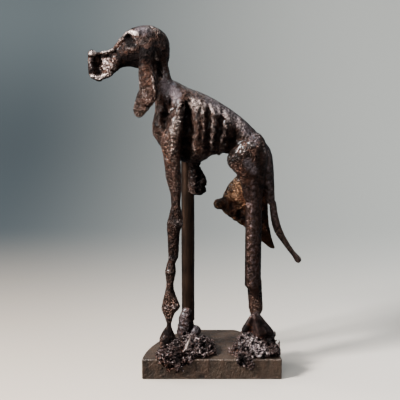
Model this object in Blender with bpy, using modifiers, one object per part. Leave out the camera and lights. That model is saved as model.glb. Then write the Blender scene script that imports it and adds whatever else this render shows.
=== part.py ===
"""A small hound welded up from scrap steel, standing on a half-moon offcut of thick plate.

Metres, +Z up. The hound looks towards -X, its near side faces -Y, and the origin is the middle of
the plate's underside. The plate, the bars and the ball have real sizes of their own. The figure is
free form: its pose is drawn on a grid whose unit is a share of the figure's height.
"""

import math

import bmesh
import bpy
from mathutils import Vector

# The plate that it stands on: straight along the front, with bowed ends.
PLATE_LENGTH = 0.130
PLATE_DEPTH = 0.075
PLATE_THICKNESS = 0.020
PLATE_BACK_LENGTH = 0.046
PLATE_END_BOW = 0.0095
PLATE_EDGE = 0.0008

# Round stock in the figure.
FORE_BAR_DIAMETER = 0.0127
HIND_BAR_DIAMETER = 0.0148
BALL_DIAMETER = 0.0110
BALL_CLEARANCE = 0.0030

# Sole to crown, and the number of grid units in that height.
FIGURE_HEIGHT = 0.302
GRID_UNITS_HIGH = 302
UNIT = FIGURE_HEIGHT / GRID_UNITS_HIGH

# The air left between one piece and the next, where the real ones are welded.
WELD_GAP = 0.00035

# How finely a melted-together skin is drawn before it is thinned.
SKIN_CELL = 0.0013
EAR_CELL = 0.0010
TAIL_CELL = 0.0008
SKIN_POLISH = 4

# The figure's middle plane, in grid units towards the far side.
MIDDLE_Y = 2.0

STEEL = (0.105, 0.072, 0.056)
STRAW_STEEL = (0.27, 0.155, 0.07)
PLATE_STEEL = (0.13, 0.10, 0.08)
BRIGHT_STEEL = (0.42, 0.36, 0.32)
METALLIC = 0.9

# The trunk's upright sections, breast to rump: x, back line z, keel z, half breadth.
TRUNK = (
    (-54, 214, 204, 4),
    (-51, 226, 199, 8),
    (-45, 243, 190, 12),
    (-36, 253, 182, 15),
    (-22, 246, 177, 17.5),
    (-10, 241.5, 178, 18.5),
    (2, 235.5, 185, 17.5),
    (14, 228, 186, 15),
    (26, 219, 189, 12),
    (36, 210, 180, 12.5),
    (45, 200, 168, 12),
    (50, 191, 160, 10),
    (53, 182, 160, 6),
)

# Pieces that stand more or less upright: z, front x, back x, near y, far y.
NECK = (
    (212, -52, -22, -8, 12),
    (234, -51.5, -28, -8, 12),
    (248, -52, -34.5, -6.5, 10.5),
    (261, -52.5, -38.5, -5.5, 9.5),
    (273, -52, -40, -6, 10),
    (283, -53, -41, -6, 10),
)
CROUP = (
    (198, 34, 46, -7, 10),
    (190, 36, 52.8, -8, 11),
    (178, 40, 55.6, -7, 10),
    (160, 44, 57, -4.5, 8),
    (148, 48, 57.5, -2.5, 6.5),
    (138, 51.5, 58.5, -1, 5),
)
NEAR_FORELEG = (
    (235, -31, -24, -16, -8),
    (224, -36, -25, -19, -9),
    (211, -42, -27, -21, -9),
    (200, -46.5, -28.5, -21, -8),
    (190, -44.5, -29, -20, -8),
    (179, -43, -28.5, -19.5, -8.5),
    (167, -42, -28, -19, -9),
    (155, -38.5, -28, -18.5, -9),
    (141, -37, -29, -18, -9.5),
    (124, -41.2, -26.2, -20, -8),
    (116, -41, -29.5, -19, -9),
    (92, -40, -31, -18.5, -9.5),
    (86, -41, -34, -18, -10),
    (78, -43.2, -33, -19.5, -9),
    (66, -42, -35.5, -18, -10.5),
    (57, -43.5, -34.5, -18.5, -10),
    (43, -47, -29.2, -19, -8.5),
    (38, -46, -33.5, -18.5, -9),
    (30, -43, -37, -17, -11),
    (24, -42, -38, -16, -11.5),
    (18, -46, -36, -18.5, -9),
    (10, -49.3, -33.2, -21.5, -6),
    (3, -48.5, -34, -20.5, -7),
    (-4, -47, -35, -20, -8),
)
FAR_ELBOW = (
    (192, -24, -8, 6, 19),
    (176, -22, -10.5, 7, 20),
    (168, -22, -9.5, 8, 20),
    (160, -22.5, -6, 8, 21),
    (153, -23, -4.3, 8.5, 21),
    (147, -22, -6, 9, 20),
    (143.5, -17, -9, 11, 18),
)
NEAR_HIND_THIGH = (
    (206, 35, 42.5, -8, 1),
    (202, 28, 46, -12.5, 2),
    (197, 21.5, 48.5, -15.5, 2),
    (189, 15.5, 49.8, -17, 2),
    (181, 13, 50, -16.5, 2),
    (174, 17, 49.5, -15.5, 2),
    (168, 22.5, 48.5, -14.5, 2),
    (160, 26, 47.5, -13, 2),
    (145, 29, 46, -11.8, 2.5),
)
NEAR_HIND_ANKLE = (
    (66, 32, 46.5, -11.5, 3),
    (58, 33.2, 46.6, -11, 3),
    (48, 34.2, 47.4, -10, 2.8),
    (37, 35, 48, -10, 2.6),
    (33.5, 36, 46.5, -9, 2),
    (30, 37.3, 45.2, -8, 1),
    (22, 37.2, 45.4, -8, 1.2),
    (12, 35, 47.5, -9, 2.5),
    (-3, 32, 50, -11, 5),
)
LIFTED_LEG = (
    (196, 36, 47, 7, 14),
    (184, 30, 50, 5, 18),
    (172, 26.5, 51, 5, 20),
    (162, 23.5, 51.5, 5.5, 20.5),
    (155, 16.5, 51.5, 6.5, 20),
    (148, 12.5, 51.6, 7, 19.5),
    (142, 9.5, 51.8, 7, 19),
    (136, 9, 52.3, 7, 18.5),
    (130, 9, 52.5, 7, 18),
    (127, 11, 53, 7, 17.5),
    (120, 20, 53, 7, 16),
    (113, 30, 54, 7, 14.5),
    (106, 39, 55.5, 7, 13),
    (100, 46, 57, 6.8, 12),
    (95, 52, 58.8, 6.5, 11),
    (92.3, 56.5, 60.5, 6.5, 10),
)
KNEE_KNOB = ((6.6, 12.5, 134.8), (5.2, 5.6, 5.0))
FAR_SHOULDER = (
    (228, -27, -19, 9, 17),
    (216, -30.5, -15, 8, 22),
    (203, -31, -14, 8, 25.5),
    (192, -30, -14.5, 9, 27),
    (183, -28.5, -16.5, 12, 26),
)
FAR_FOREFOOT = (
    (30, -26.5, -18, 13.5, 24),
    (24, -28, -17.5, 12.5, 24.5),
    (14, -30.8, -17, 11.5, 25),
    (6, -31.5, -15, 11, 25.5),
    (-4, -31, -14, 11, 26),
)

# The head's upright sections, nape to nose: x, top z, bottom z, half breadth, pinch of the top.
HEAD = (
    (-38.3, 286, 273, 5, 0),
    (-41, 293, 266, 9.5, 0),
    (-47, 299, 262, 12, 0),
    (-56, 302.3, 262, 13.3, 0),
    (-65, 301.5, 263.5, 12.8, 0),
    (-73, 298.5, 265.5, 11.3, 0.1),
    (-80, 292.5, 265, 9.3, 0.25),
    (-85, 287, 262.5, 8.6, 0.48),
    (-90, 281.5, 258, 9.6, 0.66),
    (-97, 278.8, 254.5, 11.3, 0.72),
    (-104, 278, 253.5, 10.8, 0.68),
    (-108.5, 278.5, 255.5, 7.6, 0.45),
    (-110.8, 276, 259.5, 4, 0.2),
)
NOSE_PLACE = (-107.3, MIDDLE_Y, 277)
NOSE_RADII = (3.6, 4.2, 3.6)

# The hanging ears: middle x, middle z, half width, half thickness, outward y of the middle.
EAR = (
    (-56, 287, 6.5, 2.0, 11),
    (-57, 279, 7.2, 2.6, 13.5),
    (-59, 271, 6, 2.6, 14.5),
    (-58.4, 261, 7.3, 2.4, 15.5),
    (-57, 251, 7.9, 2.5, 16),
    (-56.8, 244, 8.8, 2.6, 16),
    (-59.8, 237, 8.9, 2.8, 16),
    (-63.5, 230, 7.4, 2.8, 15.5),
    (-65, 225.5, 4.8, 2.3, 15),
    (-65, 222.3, 2.4, 1.6, 14.8),
)

# The tail's line and its radius: x, y, z, radius.
TAIL = (
    (56, 2.5, 140, 3.0),
    (57, 2.5, 130, 3.3),
    (59, 2.5, 120, 3.6),
    (62, 2.6, 111, 3.5),
    (67, 2.8, 102.5, 2.8),
    (73, 3.0, 93.5, 2.3),
    (77, 3.1, 88.3, 2.2),
    (80.5, 3.2, 83.6, 3.0),
    (82.4, 3.2, 81.2, 1.9),
)

# Ribs: slanting grooves down the flanks, and how far each foot is set forward of its head.
GROOVE_COUNT = 3
FIRST_GROOVE_X = -4.0
GROOVE_PITCH = 13.0
GROOVE_LEAN = (0.5, 6.0, 9.0)
GROOVE_TOP = 227.0
GROOVE_DROP = 7.0
GROOVE_FOOT = 190.0
GROOVE_WIDTH = 5.0
GROOVE_DEPTH = 3.2

# Other hollows of the trunk as strokes of (x, z): behind the upper arm, and before it.
ARM_HOLLOW = ((-23.5, 230), (-22, 210), (-24, 190))
BREAST_HOLLOW = ((-45, 232), (-42, 212))
FLANK_HOLLOW = ((14, 199), (22, 190))
# Strokes on the trunk, head and lifted leg, some sunk and some raised.
UPPER_FLANK_BAND = ((-18, 236), (0, 229.5), (16, 219), (30, 205))
SHANK_LINE = ((14, 141), (32, 128), (50, 112))
SHANK_CAVITY = ((26, 127), (31, 117))
BROW = ((-83, 291), (-77, 297.5), (-66, 300))
EYE_HOLLOW = ((-82, 286.5), (-78, 292), (-74, 295))
NOSE_HOLLOW = ((-102.5, 272), (-101, 262))

# The bars' places on the grid.
FORE_BAR_X = -22.4
FORE_BAR_Y = 19.0
FORE_BAR_FOOT = 17.5
FORE_BAR_HEAD = 186.0
HIND_BAR_X = 38.2
HIND_BAR_Y = -4.4
HIND_BAR_FOOT = 60.0
HIND_BAR_HEAD = 150.0
BALL_PLACE = (-15.5, 12.0)

# Slag lumps: x, place between the plate's front edge (0) and the foot (1), z and radius. Under them
# lie low mounds, one on the plate and one along its edge: x, place, z and three radii.
NEAR_FOOT_Y = -14.0
HIND_FOOT_Y = -3.5
FRONT_MOUNDS = ((-16, 0.72, 0, 17, 13, 5), (-32, 0.04, -1, 14, 4.5, 4.5))
HIND_MOUNDS = ((40, 0.62, 0, 22, 20, 6), (31, 0.03, -1, 8, 4, 3.5))
FRONT_CLUMP = (
    (-44, 0.28, 1, 8.5),
    (-34, 0.32, 2, 9),
    (-22, 0.30, 1, 7.5),
    (-12, 0.45, 2, 9),
    (-3, 0.57, 1, 7.5),
    (-30, 0.74, 5, 9),
    (-17, 0.83, 6, 9),
    (-6, 0.96, 4, 8),
    (-24, 1.26, 4, 8),
    (-12, 1.34, 3, 7.5),
    (-43, 0.02, -3, 5),
    (-32, 0.02, -4, 5.5),
    (-21, 0.04, -2, 5),
    (-40, -0.02, -8, 3),
    (-31, -0.02, -9, 2.6),
)
HIND_CLUMP = (
    (24, 0.46, 1, 7.5),
    (33, 0.31, 2, 9),
    (43, 0.34, 3, 9.5),
    (52, 0.31, 1, 8),
    (58.8, 0.37, 3.5, 7.6),
    (27, 0.01, -3, 4),
    (35, 0.00, -3, 4.5),
    (30, 0.66, 4, 9),
    (41, 0.69, 5, 10),
    (52, 0.69, 4, 8.5),
    (36, 1.01, 5, 9),
    (47, 1.07, 6, 9),
    (47.5, 1.22, 14, 8),
    (53, 1.16, 7, 7.5),
    (33, 1.16, 12, 4.5),
)
# The bright sliver that leans on the front clump: foot, head, breadth and thickness.
SLIVER_FOOT = (-26.5, 0.16, 1)
SLIVER_HEAD = (-19.5, 0.36, 20)
SLIVER_BREADTH = 2.6
SLIVER_THICKNESS = 1.2

# Triangles that each skin is thinned to.
SKIN_TRIANGLES = {
    "body": 1560,
    "head": 1240,
    "near_ear": 340,
    "far_ear": 300,
    "near_foreleg": 800,
    "far_elbow": 260,
    "near_hind_leg": 700,
    "lifted_hind_leg": 520,
    "tail": 230,
    "far_forefoot": 200,
    "near_forefoot_slag": 560,
    "hind_foot_slag": 560,
}


def spot(x, y, z):
    """A point of the figure, from grid units measured at the middle of the plate's top."""
    return Vector((x * UNIT, y * UNIT, z * UNIT + PLATE_THICKNESS))


def clear_scene():
    for item in list(bpy.data.objects):
        bpy.data.objects.remove(item)


def new_collection(name):
    made = bpy.data.collections.new(name)
    bpy.context.scene.collection.children.link(made)
    return made


def metal(name, colour, roughness):
    """A Principled metal of one colour."""
    made = bpy.data.materials.new(name)
    made.use_nodes = True
    shader = made.node_tree.nodes["Principled BSDF"]
    shader.inputs["Base Color"].default_value = (*colour, 1)
    shader.inputs["Metallic"].default_value = METALLIC
    shader.inputs["Roughness"].default_value = roughness
    made.diffuse_color = (*colour, 1)
    return made


def blended(rows, steps):
    """The rows of a table with smooth rows filled in between, on a Catmull-Rom curve."""
    made = []
    for i in range(len(rows) - 1):
        before = rows[max(i - 1, 0)]
        start, end = rows[i], rows[i + 1]
        after = rows[min(i + 2, len(rows) - 1)]
        for step in range(steps):
            t = step / steps
            made.append(
                tuple(
                    b + t * (c - a) / 2 + t * t * (a - 2.5 * b + 2 * c - d / 2)
                    + t**3 * (1.5 * (b - c) + (d - a) / 2)
                    for a, b, c, d in zip(before, start, end, after)
                )
            )
    made.append(tuple(rows[-1]))
    return made


def skin_of(rings):
    """A closed mesh over rings of equal count, with a flat face at each end."""
    shape = bmesh.new()
    loops = [[shape.verts.new(point) for point in ring] for ring in rings]
    count = len(loops[0])
    for lower, upper in zip(loops, loops[1:]):
        for k in range(count):
            after = (k + 1) % count
            shape.faces.new((lower[k], lower[after], upper[after], upper[k]))
    shape.faces.new(reversed(loops[0]))
    shape.faces.new(loops[-1])
    bmesh.ops.recalc_face_normals(shape, faces=shape.faces)
    return shape


def oval(middle, side, rise, count=16):
    """A ring of points round middle, reaching side and rise either way."""
    turns = [2 * math.pi * k / count for k in range(count)]
    return [middle + side * math.cos(turn) + rise * math.sin(turn) for turn in turns]


def upright(rows, steps=2, count=16):
    """A piece drawn in level sections: z, front x, back x, near y, far y."""
    rings = []
    for z, front, back, near, far in blended(rows, steps):
        middle = spot((front + back) / 2, (near + far) / 2, z)
        side = Vector(((back - front) / 2 * UNIT, 0, 0))
        rise = Vector((0, (far - near) / 2 * UNIT, 0))
        rings.append(oval(middle, side, rise, count))
    return skin_of(rings)


def lengthwise(rows, steps=3, count=24):
    """A piece drawn in upright sections: x, top z, bottom z, half breadth and pinch of the top."""
    rings = []
    for x, top, bottom, breadth, *pinch in blended(rows, steps):
        middle = spot(x, MIDDLE_Y, (top + bottom) / 2)
        side = Vector((0, breadth * UNIT, 0))
        rise = Vector((0, 0, (top - bottom) / 2 * UNIT))
        ring = oval(middle, side, rise, count)
        if pinch:
            narrow_top(ring, middle, rise.z, pinch[0])
        rings.append(ring)
    return skin_of(rings)


def narrow_top(ring, middle, half_height, pinch):
    """Draws the upper part of a section in, so that it stands as a ridge on a wide foot."""
    for point in ring:
        height = (point.z - middle.z) / half_height
        share = 1 - pinch * min(max((height + 0.75) / 1.1, 0), 1)
        point.y = middle.y + (point.y - middle.y) * share


def ellipsoid(place, radii, fineness=12):
    """A closed ball stretched along the three axes, both in grid units."""
    shape = bmesh.new()
    bmesh.ops.create_uvsphere(shape, u_segments=2 * fineness, v_segments=fineness, radius=UNIT)
    bmesh.ops.scale(shape, vec=radii, verts=shape.verts)
    bmesh.ops.translate(shape, vec=spot(*place), verts=shape.verts)
    return shape


def object_from(name, shape, collection):
    """A new object in the collection that owns the bmesh's geometry."""
    mesh = bpy.data.meshes.new(name)
    shape.to_mesh(mesh)
    shape.free()
    made = bpy.data.objects.new(name, mesh)
    collection.objects.link(made)
    return made


def settle(item):
    """Turns the object's modifiers into plain mesh."""
    graph = bpy.context.evaluated_depsgraph_get()
    mesh = bpy.data.meshes.new_from_object(item.evaluated_get(graph))
    old = item.data
    item.modifiers.clear()
    item.data = mesh
    bpy.data.meshes.remove(old)
    mesh.name = item.name


def joined(shapes):
    """Several bmeshes as one, each freed."""
    whole = bmesh.new()
    for shape in shapes:
        mesh = bpy.data.meshes.new("loose")
        shape.to_mesh(mesh)
        shape.free()
        whole.from_mesh(mesh)
        bpy.data.meshes.remove(mesh)
    return whole


def melted(name, shapes, collection, cell=SKIN_CELL, polish=SKIN_POLISH):
    """One even skin over shapes that run into each other, as weld metal flows over them."""
    item = object_from(name, joined(shapes), collection)
    remesh = item.modifiers.new("flow", "REMESH")
    remesh.mode = "VOXEL"
    remesh.voxel_size = cell
    smooth = item.modifiers.new("polish", "SMOOTH")
    smooth.factor = 0.5
    smooth.iterations = polish
    settle(item)
    return item


def thinned(item, triangles):
    """The object's mesh brought down to about that many triangles."""
    have = sum(len(face.vertices) - 2 for face in item.data.polygons)
    thin = item.modifiers.new("thin", "DECIMATE")
    thin.ratio = min(1.0, triangles / have)
    settle(item)


def press(item, stroke, width, depth, middle_y=MIDDLE_Y):
    """Sinks a groove along a stroke of (x, z) points into both sides; a negative depth raises it."""
    points = [Vector((x * UNIT, z * UNIT + PLATE_THICKNESS)) for x, z in stroke]
    middle = middle_y * UNIT
    reach = width * UNIT
    for vertex in item.data.vertices:
        side = 1 if vertex.co.y > middle else -1
        here = Vector((vertex.co.x, vertex.co.z))
        away = min(distance_to(here, a, b) for a, b in zip(points, points[1:]))
        if away < reach:
            share = (1 - (away / reach) ** 2) ** 2
            hold = min(1.0, abs(vertex.co.y - middle) / (2 * abs(depth) * UNIT))
            vertex.co.y -= side * depth * UNIT * share * hold


def distance_to(point, start, end):
    """How far the point lies from the straight piece between start and end."""
    run = end - start
    along = min(max((point - start).dot(run) / run.length_squared, 0), 1)
    return (point - start - run * along).length


def grown(item, collection):
    """A cutter: the object's own shape, fatter by the weld gap."""
    cutter = bpy.data.objects.new(item.name + "_cutter", item.data.copy())
    collection.objects.link(cutter)
    swell = cutter.modifiers.new("swell", "DISPLACE")
    swell.strength = WELD_GAP
    swell.mid_level = 0
    settle(cutter)
    cutter.hide_render = True
    cutter.display_type = "WIRE"
    return cutter


def cope(item, neighbours, cutters):
    """Cuts the object to fit against its neighbours, as a welder copes a tube, and keeps its largest body."""
    for neighbour in neighbours:
        cutter = grown(neighbour, cutters)
        cut = item.modifiers.new("cope", "BOOLEAN")
        cut.operation = "DIFFERENCE"
        cut.object = cutter
        settle(item)
        bpy.data.objects.remove(cutter)
        keep_largest(item)


def keep_largest(item):
    """Drops the crumbs that a cut leaves behind."""
    shape = bmesh.new()
    shape.from_mesh(item.data)
    bmesh.ops.remove_doubles(shape, verts=shape.verts, dist=1e-6)
    unseen = set(shape.verts)
    islands = []
    while unseen:
        edge_of_island = [unseen.pop()]
        island = list(edge_of_island)
        while edge_of_island:
            for edge in edge_of_island.pop().link_edges:
                for vertex in edge.verts:
                    if vertex in unseen:
                        unseen.remove(vertex)
                        edge_of_island.append(vertex)
                        island.append(vertex)
        islands.append(island)
    islands.sort(key=len)
    bmesh.ops.delete(shape, geom=[v for island in islands[:-1] for v in island], context="VERTS")
    shape.to_mesh(item.data)
    shape.free()


def bow(start, end, rise, count):
    """Points on the arc from start to end that bulges by rise to the right of the way along."""
    chord = end - start
    half = chord.length / 2
    radius = (half * half + rise * rise) / (2 * rise)
    outward = Vector((chord.y, -chord.x)).normalized()
    hub = (start + end) / 2 + outward * (rise - radius)
    first = math.atan2(*(start - hub).yx)
    sweep = 2 * math.asin(half / radius)
    turns = [first + sweep * k / count for k in range(count + 1)]
    return [hub + radius * Vector((math.cos(turn), math.sin(turn))) for turn in turns]


def make_plate(collection):
    """The half-moon offcut: a flat outline given its thickness, with its edges just broken."""
    front_left = Vector((-PLATE_LENGTH / 2, -PLATE_DEPTH / 2))
    front_right = Vector((PLATE_LENGTH / 2, -PLATE_DEPTH / 2))
    back_right = Vector((PLATE_BACK_LENGTH / 2, PLATE_DEPTH / 2))
    back_left = Vector((-PLATE_BACK_LENGTH / 2, PLATE_DEPTH / 2))
    outline = bow(front_right, back_right, PLATE_END_BOW, 10) + bow(back_left, front_left, PLATE_END_BOW, 10)
    rings = [[Vector((p.x, p.y, z)) for p in outline] for z in (0, PLATE_THICKNESS)]
    plate = object_from("base_plate", skin_of(rings), collection)
    edge = plate.modifiers.new("broken_edge", "BEVEL")
    edge.width = PLATE_EDGE
    edge.segments = 1
    edge.limit_method = "ANGLE"
    return plate


def round_bar(x, y, low, high, diameter):
    """An upright bar between two heights of the grid."""
    shape = bmesh.new()
    foot, head = spot(x, y, low), spot(x, y, high)
    long = (head - foot).length
    radius = diameter / 2
    bmesh.ops.create_cone(shape, cap_ends=True, segments=28, radius1=radius, radius2=radius, depth=long)
    bmesh.ops.translate(shape, vec=(foot + head) / 2, verts=shape.verts)
    return shape


def hanging(rows, side, steps=2, count=12):
    """An ear: level sections of a flap, on one side of the head (-1 near, 1 far)."""
    rings = []
    for x, z, half_width, half_thickness, out in blended(rows, steps):
        middle = spot(x, MIDDLE_Y + side * out, z)
        rings.append(
            oval(middle, Vector((half_width * UNIT, 0, 0)), Vector((0, half_thickness * UNIT, 0)), count)
        )
    return skin_of(rings)


def along(rows, steps=3, count=10):
    """A piece of round section that follows a line: x, y, z, radius."""
    line = blended(rows, steps)
    rings = []
    for i, (x, y, z, radius) in enumerate(line):
        before, after = line[max(i - 1, 0)], line[min(i + 1, len(line) - 1)]
        way = Vector(after[:3]) - Vector(before[:3])
        across = way.cross(Vector((0, 1, 0))).normalized()
        rings.append(oval(spot(x, y, z), across * radius * UNIT, Vector((0, radius * UNIT, 0)), count))
    return skin_of(rings)


def by_the_edge(share, foot_y):
    """The grid y at a share of the way from the plate's front edge to a foot."""
    edge = -PLATE_DEPTH / 2 / UNIT
    return edge + share * (foot_y - edge)


def clump(lumps, mounds, foot_y):
    """Balls of slag at the listed places, each a little out of round, on low mounds."""
    masses = [ellipsoid((x, by_the_edge(share, foot_y), z), radii, 10) for x, share, z, *radii in mounds]
    for x, share, z, radius in lumps:
        height = radius * (0.8 + 0.15 * math.sin(7 * x))
        masses.append(ellipsoid((x, by_the_edge(share, foot_y), z), (radius, radius, height), 8))
    return masses


def blade(foot, head, breadth, thickness):
    """A flat sliver from foot to head, narrowing to its head."""
    start, end = (spot(x, by_the_edge(share, NEAR_FOOT_Y), z) for x, share, z in (foot, head))
    way = (end - start).normalized()
    side = Vector((1, 0, 0))
    side = (side - way * side.dot(way)).normalized()
    rise = way.cross(side)
    rings = []
    for share, width in ((0, 0.6), (0.15, 1), (0.7, 0.8), (1, 0.25)):
        middle = start.lerp(end, share)
        across = side * breadth / 2 * UNIT * width
        through = rise * thickness / 2 * UNIT * (0.5 + width / 2)
        rings.append(oval(middle, across, through, 8))
    return skin_of(rings)


def make_body(collection):
    """Neck, rib cage, back and rump: one weld-built mass with its ribs and hollows pressed in."""
    masses = [lengthwise(TRUNK), upright(NECK), upright(CROUP), upright(FAR_SHOULDER)]
    body = melted("body", masses, collection)
    for number in range(GROOVE_COUNT):
        head_x = FIRST_GROOVE_X + number * GROOVE_PITCH
        head_z = GROOVE_TOP - number * GROOVE_DROP
        stroke = ((head_x, head_z), (head_x - GROOVE_LEAN[number], GROOVE_FOOT))
        press(body, stroke, GROOVE_WIDTH, GROOVE_DEPTH)
    press(body, ARM_HOLLOW, 7, 5.5)
    press(body, BREAST_HOLLOW, 5, 3.5)
    press(body, FLANK_HOLLOW, 6, 2.5)
    press(body, UPPER_FLANK_BAND, 6, -1.4)
    return body


def make_head(collection):
    """Skull and muzzle, with the nose stood on end at the front."""
    head = melted("head", [lengthwise(HEAD), ellipsoid(NOSE_PLACE, NOSE_RADII)], collection)
    press(head, BROW, 5, -1.2)
    press(head, EYE_HOLLOW, 5.5, 3.8)
    press(head, NOSE_HOLLOW, 4.5, 2.6)
    return head


def make_legs(collection):
    """The four legs, the fore bar last."""
    foreleg = melted("near_foreleg", [upright(NEAR_FORELEG)], collection)
    elbow = melted("far_elbow", [upright(FAR_ELBOW)], collection)
    shank = round_bar(HIND_BAR_X, HIND_BAR_Y, HIND_BAR_FOOT, HIND_BAR_HEAD, HIND_BAR_DIAMETER)
    hind = melted("near_hind_leg", [upright(NEAR_HIND_THIGH), shank, upright(NEAR_HIND_ANKLE)], collection)
    lifted = melted("lifted_hind_leg", [upright(LIFTED_LEG), ellipsoid(*KNEE_KNOB)], collection)
    press(lifted, SHANK_LINE, 4.5, 2.2, middle_y=12)
    press(lifted, SHANK_CAVITY, 4.5, 3, middle_y=12)
    bar = round_bar(FORE_BAR_X, FORE_BAR_Y, FORE_BAR_FOOT, FORE_BAR_HEAD, FORE_BAR_DIAMETER)
    return foreleg, elbow, hind, lifted, object_from("far_foreleg_bar", bar, collection)


def make_feet(collection):
    """The lump under the fore bar, the slag round the feet, the ball and the sliver."""
    lump = melted("far_forefoot", [upright(FAR_FOREFOOT)], collection)
    front = melted("near_forefoot_slag", clump(FRONT_CLUMP, FRONT_MOUNDS, NEAR_FOOT_Y), collection)
    hind = melted("hind_foot_slag", clump(HIND_CLUMP, HIND_MOUNDS, HIND_FOOT_Y), collection)
    ball = bmesh.new()
    bmesh.ops.create_uvsphere(ball, u_segments=16, v_segments=10, radius=BALL_DIAMETER / 2)
    seat = spot(*BALL_PLACE, 0) + Vector((0, 0, BALL_DIAMETER / 2 + BALL_CLEARANCE))
    bmesh.ops.translate(ball, vec=seat, verts=ball.verts)
    sliver = object_from("sliver", blade(SLIVER_FOOT, SLIVER_HEAD, SLIVER_BREADTH, SLIVER_THICKNESS), collection)
    return lump, front, hind, object_from("foot_ball", ball, collection), sliver


def build():
    clear_scene()
    hound = new_collection("scrap_metal_dog")
    cutters = new_collection("cutters")
    dark = metal("dark_steel", STEEL, 0.42)
    straw = metal("straw_steel", STRAW_STEEL, 0.45)
    scale = metal("plate_steel", PLATE_STEEL, 0.55)
    bright = metal("bright_steel", BRIGHT_STEEL, 0.35)

    plate = make_plate(hound)
    body = make_body(hound)
    head = make_head(hound)
    near_ear = melted("near_ear", [hanging(EAR, -1)], hound, cell=EAR_CELL, polish=2)
    far_ear = melted("far_ear", [hanging(EAR, 1)], hound, cell=EAR_CELL, polish=2)
    foreleg, elbow, hind, lifted, bar = make_legs(hound)
    tail = melted("tail", [along(TAIL)], hound, cell=TAIL_CELL, polish=1)
    lump, front, back, ball, sliver = make_feet(hound)

    for item in hound.objects:
        if item.name in SKIN_TRIANGLES:
            thinned(item, SKIN_TRIANGLES[item.name])

    # The body gives way first, while its neighbours are still whole shapes.
    cope(body, [head, near_ear, far_ear, foreleg, elbow, bar, hind, lifted, tail], cutters)
    cope(near_ear, [head], cutters)
    cope(far_ear, [head], cutters)
    cope(elbow, [bar], cutters)
    cope(lifted, [hind, tail], cutters)
    # The slag has flowed under the feet, so each foot ends where its slag begins.
    cope(front, [plate], cutters)
    cope(back, [plate], cutters)
    cope(lump, [bar, ball, plate, front], cutters)
    cope(foreleg, [plate, front], cutters)
    cope(hind, [plate, back], cutters)
    cope(sliver, [front], cutters)

    for item in hound.objects:
        item.data.materials.clear()
        item.data.materials.append(dark)
    plate.data.materials[0] = scale
    lifted.data.materials[0] = straw
    sliver.data.materials[0] = bright


build()
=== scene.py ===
# %% [markdown]
# A hound welded up from scrap steel, standing on an offcut of thick plate.
# The solids already have its pose and outline. This script gives them what a welder leaves behind:
# melted seams, beads, pits and slag, a dark patina, and steel that shines where it stands proud.
# Heights and places on the figure are in millimetres from the middle of the plate's top.

import math

import bmesh
import bpy
import numpy as np
from mathutils import Matrix, Vector


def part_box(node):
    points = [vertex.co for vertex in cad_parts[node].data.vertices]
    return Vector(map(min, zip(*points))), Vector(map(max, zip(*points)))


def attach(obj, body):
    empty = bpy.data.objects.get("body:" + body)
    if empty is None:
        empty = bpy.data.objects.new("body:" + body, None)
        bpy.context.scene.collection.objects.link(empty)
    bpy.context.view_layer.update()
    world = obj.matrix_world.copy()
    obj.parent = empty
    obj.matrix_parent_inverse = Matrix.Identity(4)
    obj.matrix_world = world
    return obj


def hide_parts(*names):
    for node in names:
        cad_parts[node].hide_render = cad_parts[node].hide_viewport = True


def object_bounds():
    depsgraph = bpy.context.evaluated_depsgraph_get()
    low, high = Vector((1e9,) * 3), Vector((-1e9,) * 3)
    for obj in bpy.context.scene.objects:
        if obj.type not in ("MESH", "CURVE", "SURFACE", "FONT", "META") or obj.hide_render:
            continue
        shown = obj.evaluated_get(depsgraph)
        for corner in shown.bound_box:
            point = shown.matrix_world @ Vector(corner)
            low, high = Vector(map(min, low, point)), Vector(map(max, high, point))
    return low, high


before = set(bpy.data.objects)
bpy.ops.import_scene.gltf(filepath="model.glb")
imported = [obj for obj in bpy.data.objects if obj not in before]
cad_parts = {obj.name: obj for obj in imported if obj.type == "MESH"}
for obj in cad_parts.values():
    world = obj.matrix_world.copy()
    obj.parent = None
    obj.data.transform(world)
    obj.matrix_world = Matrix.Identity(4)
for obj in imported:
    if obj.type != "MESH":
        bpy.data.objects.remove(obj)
solids_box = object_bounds()
PLATE_TOP = 0.020
MM = 0.001
print("solids:", sorted(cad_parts))

# %% [markdown]
# The pieces are welded into one skin, so the figure is made as one skin here. Copies of the solids
# are swollen until they run into each other, and a voxel remesh then flows over them all, much as
# weld metal does. A remesh was chosen because it forgets every seam and leaves an even net of small
# faces that can be worked like clay.

# %% Melting solids together
def merged_copy(node, swell):
    """A bmesh copy of a solid, its loose triangles merged, pushed out by swell."""
    shape = bmesh.new()
    shape.from_mesh(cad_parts[node].data)
    bmesh.ops.remove_doubles(shape, verts=shape.verts, dist=1e-6)
    shape.normal_update()
    for vertex in shape.verts:
        vertex.co += vertex.normal * swell
    return shape


def new_piece(name, mesh):
    """An object for a mesh, at the origin and unturned."""
    piece = bpy.data.objects.new(name, mesh)
    bpy.context.scene.collection.objects.link(piece)
    return piece


def plain_mesh(piece):
    """Turns what the modifiers make into the piece's own mesh."""
    graph = bpy.context.evaluated_depsgraph_get()
    mesh = bpy.data.meshes.new_from_object(piece.evaluated_get(graph))
    piece.modifiers.clear()
    piece.data = mesh


def flow_over(piece, cell):
    """Flows one closed skin over all of a piece, on a net of cubes of the cell's size."""
    flow = piece.modifiers.new("flow", "REMESH")
    flow.mode = "VOXEL"
    flow.voxel_size = cell
    plain_mesh(piece)


def shade_smooth(mesh):
    for polygon in mesh.polygons:
        polygon.use_smooth = True


def give_material(piece, material):
    """Leaves one material on a piece."""
    piece.data.materials.clear()
    piece.data.materials.append(material)


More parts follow.
